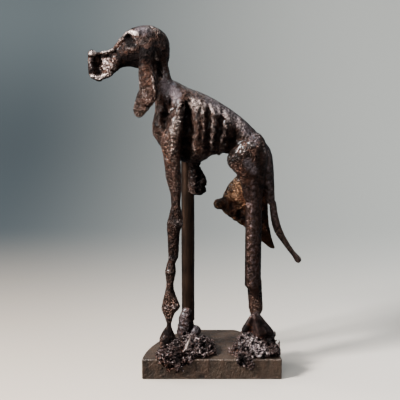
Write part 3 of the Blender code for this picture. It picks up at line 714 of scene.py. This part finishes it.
# Painted shade: besides soot in the deep places, these strokes darken the cheek under the brow, the elbow,
# the hoof and the shaded side of the legs.
SOOT_AND_SHADE = (
    (((-78, 278), (-64, 278), (-56, 286)), 18, 1.05),
    (((-85, 283), (-79, 285), (-70, 283)), 6, 0.75),
    (((-66, 290), (-58, 290)), 7, 0.6),
    (((-57, 258), (-60, 225)), 13, 0.25),
    (((-36, 150), (-35, 60)), 9, 0.72),
    (((-12, 172), (-10, 150)), 11, 1.0),
    (((-40, 18), (-38, 8)), 10, 1.1),
    (((-22, 226), (-23, 205), (-24, 185)), 6, 0.8),
    (((-102.3, 274), (-101.0, 260)), 4.0, 1.0),
    (((-106.8, 273), (-108.2, 261)), 3.4, 0.85),
    (((-96, 272), (-88, 262)), 9, 0.30),
    (((-90, 283), (-83, 290)), 3, 0.6),
    (((-12, 208), (10, 204)), 11, 0.62),
    (((-10, 226), (16, 216)), 8, 0.35),
    (((-103.1, 274.0), (-97.7, 274.8), (-91.1, 275.4), (-87.5, 278.8)), 1.6, 1.0),
    (((-108.5, 252.4), (-102, 250.6), (-95, 252.2), (-88, 256.8), (-81.5, 262)), 4.0, 1.0),
    (((-75.4, 292.2), (-71.8, 287.6)), 4.6, 1.0),
    (((-75.4, 292.2), (-71.8, 287.6)), 3.6, 1.0),
    (((-48, 270), (-46.5, 259)), 3.2, 1.0),
    (((-50, 258), (-49, 240)), 2.4, 0.9),
    (((-27.0, 232.3), (-23.0, 235.2), (-19.0, 236.8)), 1.5, 0.9),
    (((22, 206), (16, 192)), 6, 0.8),
    (((-42, 234), (-42, 218)), 4, 0.85),
    (((44, 200), (52, 130)), 6, 0.35),
    (((-80, 266), (-64, 262)), 4, 0.8),
    (((-46, 295), (-44, 272)), 4, 0.7),
    (((-34, 16), (-33, 6)), 4.5, 0.9),
)
# The folded leg's bright strokes are partly painted highlight on its top, and its soot strokes partly painted
# shade below.
FOLDED_RUBBED_AND_HIGHLIGHT = (
    (((18, 160), (24, 152), (20, 143)), 6, 0.7),
    (((16, 150), (12, 144)), 4, 0.4),
    (((24, 138), (28, 130)), 4, 0.35),
)
FOLDED_SOOT_AND_SHADE = (
    (((4, 141), (11, 137)), 7, 0.75),
    (((14, 134), (26, 128)), 7, 0.7),
    (((24, 126), (34, 118)), 6, 0.9),
    (((46, 130), (60, 96)), 12, 0.8),
)
print("dark patina:", len(RUST) + len(SOOT_AND_SHADE), "strokes")
print("folded leg:", len(FOLDED_RUBBED_AND_HIGHLIGHT) + len(FOLDED_SOOT_AND_SHADE), "strokes")

# %% [markdown]
# The skin tree runs first, because wear is measured on the beads that it raises. Then the patina is
# stored, with its painted highlight, sheen and shade. The muzzle and the ribs are calm, which means
# that less of them is worn bright. The folded hind leg is straw coloured in the real figure, so it
# wears the second steel.

# %% Dressing the figure
def paint_patina_and_light(piece, rubbed_and_highlight=(), lilac_temper_and_sheen=(), rust=(), soot_and_shade=(), high_y=99):
    """Stores the four patch attributes of a piece, patina together with painted highlight, sheen and shade,
    each painted from its own strokes.
    """
    for name, strokes in (("rubbed_and_highlight", rubbed_and_highlight), ("lilac_temper_and_sheen", lilac_temper_and_sheen), ("rust", rust), ("soot_and_shade", soot_and_shade)):
        mark(piece, name, painted(piece, 0.0, strokes, high_y))


HOUND_CALM = (
    (((-104, 268), (-86, 274)), 18, 0.25),
    (((-8, 215), (10, 206)), 16, 0.6),
)
mark(hound, "rough", painted(hound, 1.0, SKIN_ROUGH))
run_tree(hound, weld_tree, {**WELD, "Material": DARK_STEEL})
mark_wear(hound, calm=HOUND_CALM)
paint_patina_and_light(hound, RUBBED_AND_HIGHLIGHT, LILAC_TEMPER_AND_SHEEN, RUST, SOOT_AND_SHADE)
mark(folded_leg, "rough", painted(folded_leg, 0.8, ()))
run_tree(folded_leg, weld_tree, {**WELD, "Seed": 8, "Material": STRAW_STEEL})
mark_wear(folded_leg)
paint_patina_and_light(folded_leg, rubbed_and_highlight=FOLDED_RUBBED_AND_HIGHLIGHT, soot_and_shade=FOLDED_SOOT_AND_SHADE)
print("hound dressed:", len(hound.data.vertices), "points")

# %% [markdown]
# The far foreleg is a plain round bar, stood on end. It is a lathe shape: rings of points climb the
# bar, each a hair larger or smaller than the last, because rolled bar is never quite true.

# %% The fore bar
def lathe_bar(name, node, sides=64, step=0.9 * MM):
    """A bar in the place of a node, with slight waves along and round it."""
    low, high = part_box(node)
    centre = (low + high) / 2
    radius = (high.x - low.x) / 2
    rows = int((high.z - low.z) / step)
    shape = bmesh.new()
    rings = []
    for row in range(rows + 1):
        z = low.z + (high.z - low.z) * row / rows
        ring = []
        for number in range(sides):
            turn = 2 * math.pi * number / sides
            wave = 0.06 * math.sin(z * 70) + 0.04 * math.sin(3 * turn + z * 60)
            reach = radius - 0.2 * MM + wave * MM
            x = centre.x + reach * math.cos(turn)
            y = centre.y + reach * math.sin(turn)
            ring.append(shape.verts.new((x, y, z)))
        rings.append(ring)
    for below, above in zip(rings, rings[1:]):
        for number in range(sides):
            after = (number + 1) % sides
            shape.faces.new((below[number], below[after], above[after], above[number]))
    shape.faces.new(rings[0][::-1])
    shape.faces.new(rings[-1])
    mesh = bpy.data.meshes.new(name)
    shape.to_mesh(mesh)
    shape.free()
    for polygon in mesh.polygons:
        polygon.use_smooth = len(polygon.vertices) == 4
    return new_piece(name, mesh)


fore_bar = lathe_bar("fore_bar", "far_foreleg_bar")
mark_wear(fore_bar, fine=3, broad=10)
BAR_STEEL = steel(
    "drawn_bar_steel", dark=(0.034, 0.021, 0.015), umber=(0.080, 0.048, 0.032), red=(0.100, 0.052, 0.032),
    shine=(0.25, 0.20, 0.17), rough=0.30, bump=0.12, stretch=(3.0, 3.0, 0.25),
)
give_material(fore_bar, BAR_STEEL)
print("fore bar:", len(fore_bar.data.polygons), "faces")

# %% [markdown]
# Round the feet the steel has boiled over: nuggets of slag, curls of swarf caught in them, and deep
# holes between. Geometry Nodes scatter nuggets and curls over a copy of the solid clump, with a
# fixed seed, and none where the rough attribute is low. A remesh melts the lot into one crust, and
# the pits are sunk after it.

# %% Slag trees
def scattered(tree, source, form, crowd, size, seed):
    """Copies of a form on the faces of the source, turned every way, of uneven size."""
    points = put(
        tree, "GeometryNodeDistributePointsOnFaces",
        {"Mesh": source, "Density": crowd, "Seed": seed}, distribute_method="RANDOM",
    )
    turn = put(
        tree, "FunctionNodeRandomValue", {"Min": (0.0, 0.0, 0.0), "Max": (6.28, 6.28, 6.28), "Seed": seed},
        data_type="FLOAT_VECTOR",
    )
    grow = put(
        tree, "FunctionNodeRandomValue", {"Min": (0.45, 0.45, 0.40), "Max": (1.25, 1.15, 1.0), "Seed": seed},
        data_type="FLOAT_VECTOR",
    )
    scale = put(tree, "ShaderNodeVectorMath", {0: grow.outputs[0], "Scale": size}, operation="SCALE")
    copies = put(
        tree, "GeometryNodeInstanceOnPoints",
        {
            "Points": points.outputs[0], "Instance": form,
            "Rotation": turn.outputs[0], "Scale": scale.outputs[0],
        },
    )
    return copies.outputs[0]


def curl_of(tree, entry, turn):
    """A bent wire of radius 1, its thickness set by two inputs."""
    line = put(tree, "GeometryNodeCurveArc", {"Resolution": 8, "Radius": 1.0, "Sweep Angle": turn})
    section = put(tree, "GeometryNodeCurvePrimitiveCircle", {"Resolution": 4})
    thin = reckon(tree, "DIVIDE", entry.outputs["Wire"], entry.outputs["Curl Size"])
    tree.links.new(thin, section.inputs["Radius"])
    wire = put(
        tree, "GeometryNodeCurveToMesh",
        {0: line.outputs[0], 1: section.outputs[0], "Fill Caps": True},
    )
    return wire.outputs[0]


def scatter_tree(name, values, turn, shine):
    """Nuggets and curls over a piece. Shine, where it isn't zero, is the wear they are born with."""
    tree, entry, out = new_tree(name, values)
    source = entry.outputs["Geometry"]
    nugget = put(tree, "GeometryNodeMeshIcoSphere", {"Radius": 1.0, "Subdivisions": 1}).outputs[0]
    curl = curl_of(tree, entry, turn)
    join = tree.nodes.new("GeometryNodeJoinGeometry")
    tree.links.new(source, join.inputs[0])
    other_seed = reckon(tree, "ADD", entry.outputs["Seed"], 1)
    skin = put(tree, "GeometryNodeInputNamedAttribute", {"Name": "rough"}, data_type="FLOAT")
    crusty = put(
        tree, "ShaderNodeMapRange", {"Value": skin.outputs[0], "From Min": 0.25, "From Max": 0.9},
    ).outputs[0]
    for form, crowd, size, seed in (
        (nugget, "Nuggets", "Nugget Size", entry.outputs["Seed"]),
        (curl, "Curls", "Curl Size", other_seed),
    ):
        if shine:
            form = put(
                tree, "GeometryNodeStoreNamedAttribute", {"Geometry": form, "Name": "wear", "Value": shine},
                data_type="FLOAT", domain="POINT",
            ).outputs[0]
        crowded = reckon(tree, "MULTIPLY", entry.outputs[crowd], crusty)
        copies = scattered(tree, source, form, crowded, entry.outputs[size], seed)
        tree.links.new(copies, join.inputs[0])
    finish_tree(tree, join.outputs[0], entry, out)
    return tree


MELTED = {
    "Nuggets": 70000.0, "Nugget Size": 2.1 * MM,
    "Curls": 48000.0, "Curl Size": 3.3 * MM, "Wire": 0.95 * MM, "Seed": 5,
}
SWARF = {
    "Nuggets": 50000.0, "Nugget Size": 0.9 * MM,
    "Curls": 16000.0, "Curl Size": 1.9 * MM, "Wire": 0.50 * MM, "Seed": 5,
}
slag_tree = scatter_tree("slag_crust", MELTED, turn=4.0, shine=0.0)
swarf_tree = scatter_tree("swarf", SWARF, turn=4.4, shine=0.12)
print("slag tree:", len(slag_tree.nodes), "nodes")

# %% [markdown]
# The same weld tree that dressed the figure, with deeper pits, opens the crust afterwards. Two passes
# of it, coarse and then fine, leave sharp bridges of metal between holes of every size. The last
# scatter isn't melted: fine curls of swarf and spatter stay separate, and catch the light.

# %% Making a crust
COARSE_CRUST = {"Bead Size": 7.0 * MM, "Bead Depth": 4.0 * MM, "Pit Size": 5.5 * MM, "Pit Depth": 3.2 * MM}
FINE_CRUST = {"Bead Size": 2.6 * MM, "Bead Depth": 1.1 * MM, "Pit Size": 2.2 * MM, "Pit Depth": 0.9 * MM}


def crust(name, nodes, seed, blobs=(), calm=()):
    """A piece of slag in the place of some nodes, with little on it where calm strokes lie."""
    piece = melt(name, nodes, cell=0.8 * MM, swell=0.1 * MM, blobs=blobs)
    soften(piece, 14)
    mark(piece, "rough", painted(piece, 1.0, calm))
    run_tree(piece, slag_tree, {**MELTED, "Seed": seed, "Material": SLAG_STEEL})
    flow_over(piece, 0.6 * MM)
    soften(piece, 1)
    mark(piece, "rough", painted(piece, 1.0, calm))
    for sizes in (COARSE_CRUST, FINE_CRUST):
        run_tree(piece, weld_tree, {**sizes, "Seed": seed, "Material": SLAG_STEEL})
    mark_wear(piece, fine=4, broad=16, contrast=1.6, shade=0.25)
    print(name, "crust:", len(piece.data.polygons), "faces")
    run_tree(piece, swarf_tree, {**SWARF, "Seed": seed, "Material": SLAG_STEEL})
    shade_smooth(piece.data)
    give_material(piece, SLAG_STEEL)
    return piece


SLAG_STEEL = steel(
    "slag_crust_steel", dark=(0.014, 0.010, 0.010), umber=(0.052, 0.031, 0.027), red=(0.080, 0.038, 0.028),
    shine=(0.70, 0.53, 0.50), rough=0.26, bump=0.9,
    patch_tints={"rust": (0.30, 0.105, 0.045), "lilac_temper_and_sheen": (0.120, 0.100, 0.106), "rubbed_and_highlight": (0.88, 0.72, 0.70)},
)
print("slag steel mixed")

# %% [markdown]
# The hind foot is a smooth hoof, with ridges that run down into the slag. It is built of rows of
# round blobs, so close together that the remesh melts each row into one ridge. Calm strokes keep
# nuggets, curls and beads off it. The front clump is slag all over, so it needs neither.

# %% Two clumps of slag
def chain(first, last, count):
    """Blobs in a row, from one to another, close enough to melt into a ridge."""
    return tuple(tuple(blob) for blob in np.linspace(first, last, count))


HIND_BLOBS = (
    ((36, -19, 9, 8.0), (45, -18, 8, 8.0), (29, -18, 6, 6.5))
    + chain((41.5, -17, 37.0, 2.4), (53.5, -16.5, 18.0, 4.6), 16)
    + chain((39.5, -18, 35.5, 3.0), (43.5, -17.5, 19.0, 8.0), 14)
    + chain((37.0, -19, 34.5, 2.4), (31.5, -19.0, 22.0, 4.0), 12)
    + chain((41.5, -20.5, 35.0, 1.3), (50.0, -22.5, 20.0, 1.7), 18)
    + chain((39.5, -21.0, 34.0, 1.3), (43.5, -26.0, 19.0, 1.7), 18)
)
HIND_CALM = ((((31, 28), (38, 35), (46, 31), (54, 22)), 12, 0.03), (((37, 30), (48, 24)), 9, 0.03))
front_slag = crust("front_slag", ("near_forefoot_slag",), seed=11)
hind_slag = crust("hind_slag", ("hind_foot_slag",), seed=23, blobs=HIND_BLOBS, calm=HIND_CALM)
# On both clumps the bright strokes are partly painted highlight, and the soot strokes partly painted shade
# low on the lumps.
paint_patina_and_light(
    front_slag,
    rubbed_and_highlight=((((-33, 16), (-20, 18)), 4, 0.5), (((-24, 12), (-24, 2)), 4, 0.3)),
    lilac_temper_and_sheen=((((-20, 14), (-4, 8)), 6, 0.4),),
    rust=((((-50, -4), (-36, -14)), 8, 0.8), (((-28, 8), (-24, -2)), 4, 0.5)),
    soot_and_shade=((((-32, 8), (-31, 0)), 5, 0.9), (((-45, 0), (-41, -4)), 3, 0.8), (((-20, -4), (-22, -14)), 4, 0.8)),
)
paint_patina_and_light(
    hind_slag,
    rubbed_and_highlight=((((33, 14), (42, 10), (46, 5)), 7.5, 0.95), (((24, 10), (30, 14)), 5, 0.3)),
    lilac_temper_and_sheen=((((50, 28), (54, 20)), 4, 0.4),),
    rust=((((35.5, 28), (36, 18)), 3, 0.4), (((24, 16), (20, 4)), 6, 0.4), (((44, 14), (52, 4)), 5, 0.5)),
    soot_and_shade=(
        (((26, 2), (32, 0)), 3.5, 0.9), (((50, 2), (56, 4)), 4, 0.7), (((44, 31), (52, 22)), 8, 0.7),
        (((33, 34), (31, 22)), 6, 0.7),
    ),
)
print("clumps painted:", front_slag.name, hind_slag.name)

# %% [markdown]
# The far forefoot is one plain lump, a drip that set where the bar stands. A pile of blobs makes it,
# and the weld skin goes over it with broad, bold beads.

# %% The far forefoot
FAR_FOOT_BLOBS = (
    (-23.6, 14.6, 27.0, 5.0), (-24.6, 13.8, 23.5, 5.7), (-25.4, 13.2, 20.0, 6.3), (-24.8, 12.8, 16.5, 6.8),
    (-25.2, 13.0, 12.5, 7.2), (-25.6, 13.4, 7.0, 7.5),
)
far_foot = melt("far_foot", ("far_forefoot",), cell=0.7 * MM, swell=0.1 * MM, blobs=FAR_FOOT_BLOBS)
soften(far_foot, 30)
mark(far_foot, "rough", np.ones(len(far_foot.data.vertices)) * 0.8)
FOOT_BEADS = {**WELD, "Bead Size": 9 * MM, "Bead Depth": 3 * MM, "Seed": 31}
run_tree(far_foot, weld_tree, {**FOOT_BEADS, "Material": SLAG_STEEL})
mark_wear(far_foot)
# The lilac stroke is partly a painted sheen on the lump's lit side, and the soot stroke is painted shade down
# its right side.
paint_patina_and_light(far_foot, lilac_temper_and_sheen=((((-24, 32), (-26, 10)), 9, 0.5),), soot_and_shade=((((-18, 24), (-18, 6)), 4.5, 0.95),))
print("far forefoot:", len(far_foot.data.polygons) * 2, "triangles")

# %% [markdown]
# A crust grows outwards, but the whole may not get bigger than its solids. Cutting the clumps off
# at a limit would leave a flat face. So whatever comes near the limit is squeezed, the more the
# closer it gets, and the knobbly form is kept.

# %% Squeezing the clumps into place
X_AXIS = 0
Y_AXIS = 1
SLAG_RIGHT = 0.0655
SLAG_FRONT = -0.0418
SLAG_LOWEST = (solids_box[0].x, SLAG_FRONT, 0.002)
SLAG_HIGHEST = (SLAG_RIGHT, 0.04, 0.2)


def hold_inside(piece, low, high):
    """Keeps every point of a piece inside a box."""
    points = points_of(piece)
    place_points(piece, points.clip(np.array(low), np.array(high)))


def ease_inside(piece, axis, limit, give=5 * MM):
    """Squeezes what comes within the give of a limit, so that nothing passes it or is cut flat."""
    points = points_of(piece)
    way = 1 if limit > 0 else -1
    over = (points[:, axis] * way - abs(limit) + give).clip(0, None)
    points[:, axis] -= way * (over - give * (1 - np.exp(-over / give)))
    place_points(piece, points)


for piece in (front_slag, hind_slag):
    ease_inside(piece, X_AXIS, SLAG_RIGHT)
    ease_inside(piece, Y_AXIS, SLAG_FRONT, give=3 * MM)
    hold_inside(piece, SLAG_LOWEST, SLAG_HIGHEST)
    print(piece.name, len(piece.data.polygons) * 2, "triangles at most")

# %% [markdown]
# The base is an offcut of thick plate, cut to a half-moon by a torch. Its top keeps the dull scale of
# the rolling mill. The torch leaves fine upright furrows on the cut edge, and the top arris was
# knocked bright and carries a painted highlight. The furrows follow the outline, so they are pressed
# in by how far round it a point lies.

# %% The plate
plate = melt("plate_offcut", ("base_plate",), cell=0.85 * MM, swell=0.0)


def dress_plate(piece):
    """Presses furrows and a slight sag into the cut edge, and long soft waves into the top."""
    points = points_of(piece)
    normals = normals_of(piece)
    edge = (1 - np.abs(normals[:, 2]) * 2.5).clip(0, 1)
    round_it = np.arctan2(points[:, 1] * 1.7, points[:, 0])
    furrows = np.sin(round_it * 145 + 2 * np.sin(round_it * 31)) * 0.04 + np.sin(round_it * 61 + 1.3) * 0.05
    sag = np.sin(points[:, 0] * 95 + 0.6) * 0.10
    wave = np.sin(points[:, 0] * 61 + 1) * np.sin(points[:, 1] * 83) * 0.12
    top = (normals[:, 2] * 2 - 1).clip(0, 1)
    push = edge * (furrows + sag - 0.25) + top * (wave - 0.2)
    points += normals * (push * MM)[:, None]
    points[:, 2] = points[:, 2].clip(0, PLATE_TOP)
    place_points(piece, points)


dress_plate(plate)
soften(plate, 3)
shade_smooth(plate.data)
mark_wear(plate, fine=3, broad=12)
print("plate:", len(plate.data.polygons) * 2, "triangles")

# %% [markdown]
# The cut edge has its own patina: three bright stretches along the arris, which are knocked-bright
# metal and painted highlight, rust below them, and soot that the torch left in dark runs, with
# painted shade in the dark line along the foot of the edge. The painting keeps to what lies in
# front of one depth, so that the top stays plain.

# %% Patina and painted light on the cut edge
PLATE_FACE = -38.6
# Knocked-bright metal and painted highlight along the arris.
PLATE_RUBBED_AND_HIGHLIGHT = (
    (((-64, -0.3), (-51, -0.3)), 1.8, 2.0),
    (((-12, -0.3), (15, -0.3)), 1.7, 2.0),
    (((30, -0.3), (64, -0.4)), 1.0, 0.5),
)
PLATE_RUST = (
    (((-62, -6), (-44, -14)), 9, 0.6),
    (((0, -11), (40, -10)), 6, 0.3),
    (((48, -8), (62, -12)), 6, 0.3),
)
# Torch soot, and painted shade in the dark line along the foot of the cut edge.
PLATE_SOOT_AND_SHADE = (
    (((-22.5, 0), (-22, -19)), 4.5, 0.85),
    (((-33, -14), (-27, -19)), 4, 0.6),
    (((-30, -19.5), (64, -19.5)), 1.5, 0.8),
    (((-65, -19.5), (-52, -19)), 1.8, 0.7),
    (((26, -1), (66, -2.5)), 2.2, 0.5),
    (((-52, -3), (-48, -18)), 3, 0.4),
)
paint_patina_and_light(plate, rubbed_and_highlight=PLATE_RUBBED_AND_HIGHLIGHT, rust=PLATE_RUST, soot_and_shade=PLATE_SOOT_AND_SHADE, high_y=PLATE_FACE)
PLATE_STEEL = steel(
    "plate_steel", dark=(0.032, 0.024, 0.019), umber=(0.088, 0.061, 0.043), red=(0.100, 0.056, 0.036),
    shine=(0.60, 0.53, 0.48), rough=0.38, bump=0.5, metal=0.6, stretch=(1.1, 1.1, 0.6),
)
give_material(plate, PLATE_STEEL)
print("cut edge:", len(PLATE_RUBBED_AND_HIGHLIGHT) + len(PLATE_RUST) + len(PLATE_SOOT_AND_SHADE), "strokes")

# %% [markdown]
# Small things at the feet: a bearing ball behind the front clump, and a bright sliver of thin metal
# that leans on it. Each starts from its own solid, so each sits where the solid does.

# %% Ball and sliver
BALL_STEEL = steel(
    "scuffed_ball_steel", dark=(0.045, 0.036, 0.038), umber=(0.120, 0.097, 0.102), red=(0.095, 0.070, 0.068),
    shine=(0.45, 0.38, 0.38), rough=0.34, bump=0.6,
)
ball = melt("bearing_ball", ("foot_ball",), cell=0.45 * MM, swell=0.1 * MM)
soften(ball, 12)
mark_wear(ball, fine=3, broad=10)
give_material(ball, BALL_STEEL)
sliver = melt("bright_sliver", ("sliver",), cell=0.3 * MM, swell=0.1 * MM)
soften(sliver, 6)
mark_wear(sliver, fine=3, broad=8)
BRIGHT_STEEL = steel(
    "bright_steel", dark=(0.26, 0.20, 0.18), umber=(0.40, 0.32, 0.28), red=(0.22, 0.13, 0.10),
    shine=(0.85, 0.78, 0.74), rough=0.30, bump=0.4,
)
give_material(sliver, BRIGHT_STEEL)
for piece in (ball, sliver):
    print(piece.name, len(piece.data.polygons) * 2, "triangles")

# %% [markdown]
# Every piece now rides on the one body. Each row gives a piece, the record's finish for it and the
# solids it stands for; the piece is held inside the solids' box, and those solids are hidden.

# %% Riding on the frame
WHO = (
    (hound, "dark_steel", FIGURE_NODES),
    (folded_leg, "straw_steel", ("lifted_hind_leg",)),
    (fore_bar, "dark_steel", ("far_foreleg_bar",)),
    (front_slag, "dark_steel", ("near_forefoot_slag",)),
    (far_foot, "dark_steel", ("far_forefoot",)),
    (hind_slag, "dark_steel", ("hind_foot_slag",)),
    (plate, "plate_steel", ("base_plate",)),
    (ball, "dark_steel", ("foot_ball",)),
    (sliver, "bright_steel", ("sliver",)),
)
for piece, finish, nodes in WHO:
    hold_inside(piece, solids_box[0], solids_box[1])
    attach(piece, "root")
    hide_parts(*nodes)
print(len(WHO), "pieces ride on the root")

# %% [markdown]
# A plain studio: one sheet that runs flat under the object and curves up behind it. It is darker
# and cooler to the left and paler underfoot, which is painted shade and painted light, and its
# colour is worked out from its own coordinates. Glossy rays pass it by, as if black cloth lay just
# out of view, so that the steel stays dark.

# %% Floor and backdrop
SWEEP_START = 0.45
SWEEP_RADIUS = 1.30
SWEEP_STEPS = 32
FAR_OUT = 4.0


def sweep():
    """The sheet, as one profile in depth and height drawn out from left to right."""
    profile = [(-FAR_OUT, 0.0), (-1.0, 0.0), (SWEEP_START, 0.0)]
    for step in range(1, SWEEP_STEPS + 1):
        turn = math.pi / 2 * step / SWEEP_STEPS
        rise = SWEEP_RADIUS * (1 - math.cos(turn))
        profile.append((SWEEP_START + SWEEP_RADIUS * math.sin(turn), rise))
    profile.append((SWEEP_START + SWEEP_RADIUS, FAR_OUT))
    shape = bmesh.new()
    rows = [[shape.verts.new((x, y, z)) for x in (-FAR_OUT, FAR_OUT)] for y, z in profile]
    for below, above in zip(rows, rows[1:]):
        shape.faces.new((below[0], below[1], above[1], above[0]))
    mesh = bpy.data.meshes.new("studio_sweep")
    shape.to_mesh(mesh)
    shape.free()
    shade_smooth(mesh)
    return new_piece("studio_sweep", mesh)


def between(tree, value, low, high):
    """A smooth step from 0 at low to 1 at high."""
    ramp = put(
        tree, "ShaderNodeMapRange", {"Value": value, "From Min": low, "From Max": high},
        interpolation_type="SMOOTHSTEP",
    )
    return ramp.outputs[0]


paper = bpy.data.materials.new("backdrop_paper")
paper.use_nodes = True
tree = paper.node_tree
axes = put(tree, "ShaderNodeSeparateXYZ", {0: tree.nodes.new("ShaderNodeTexCoord").outputs["Object"]})
across = between(tree, axes.outputs["X"], -0.30, 0.40)
back = between(tree, axes.outputs["Y"], -0.28, 0.46)
high = between(tree, axes.outputs["Z"], 0.02, 0.20)
# Painted light and shade: the floor darkens to the left, and the wall darkens to the left and low down.
floor_tone = mix(tree, across, (0.58, 0.475, 0.375), (0.94, 0.84, 0.735))
shade_tone = mix(tree, high, (0.018, 0.026, 0.030), (0.062, 0.076, 0.080))
wall_tone = mix(tree, across, shade_tone, (0.37, 0.37, 0.34))
tree.links.new(mix(tree, back, floor_tone, wall_tone), tree.nodes["Principled BSDF"].inputs["Base Color"])
tree.nodes["Principled BSDF"].inputs["Roughness"].default_value = 0.9
backdrop = sweep()
give_material(backdrop, paper)
backdrop.visible_glossy = False
print("studio sweep stands")

# %% [markdown]
# One strong lamp stands to the upper left, as a window would, and throws the shadow to the right. The
# others are weak: one in front, two more on the left, one on the right, one behind, and a cool one
# overhead. Bare steel shows its form through reflections, so each lamp is a square, not a point.

# %% Lights
CHEST = (0, 0, 0.17)


def soft_light(name, place, size, watts, aim=CHEST, colour=(1, 1, 1)):
    """A square lamp of so many watts that looks at a point. Sizes and places are in metres."""
    data = bpy.data.lights.new(name, "AREA")
    data.shape = "SQUARE"
    data.size = size
    data.energy = watts
    data.color = colour
    lamp = bpy.data.objects.new(name, data)
    lamp.location = place
    lamp.rotation_euler = (Vector(aim) - Vector(place)).to_track_quat("-Z", "Y").to_euler()
    bpy.context.scene.collection.objects.link(lamp)


soft_light("window", (-0.98, -0.46, 1.02), 0.30, 66)
soft_light("front_fill", (-0.35, -1.2, 0.75), 0.5, 7)
soft_light("left_top", (-0.95, 0.35, 1.10), 0.5, 14)
soft_light("left_side", (-1.25, -0.45, 0.30), 0.35, 7)
soft_light("right_fill", (1.3, -0.5, 0.7), 0.4, 4)
soft_light("overhead", (0.1, 0.1, 1.7), 0.8, 9, aim=(0, 0, 0.1), colour=(0.78, 0.95, 1.12))
soft_light("rear_fill", (0.5, 1.5, 1.4), 0.8, 5)
world = bpy.context.scene.world or bpy.data.worlds.new("studio")
bpy.context.scene.world = world
world.use_nodes = True
sky = world.node_tree.nodes["Background"]
sky.inputs["Color"].default_value = (0.45, 0.57, 0.68, 1)
sky.inputs["Strength"].default_value = 0.12
print("lamps and sky lit")

# %% [markdown]
# The camera stands just over a metre away, a little above the hound, and looks slightly down on the
# plate. Its lens is long, which keeps the head and the tail at their true sizes.

# %% Camera
camera_data = bpy.data.cameras.new("camera")
camera_data.sensor_width = 36
camera_data.lens = 111.6
camera = bpy.data.objects.new("camera", camera_data)
camera.location = (-0.01103, -1.09693, 0.47250)
camera.rotation_euler = (math.radians(74.2), 0, 0)
bpy.context.scene.collection.objects.link(camera)
bpy.context.scene.camera = camera
print("camera placed, lens", round(camera_data.lens, 1), "mm")
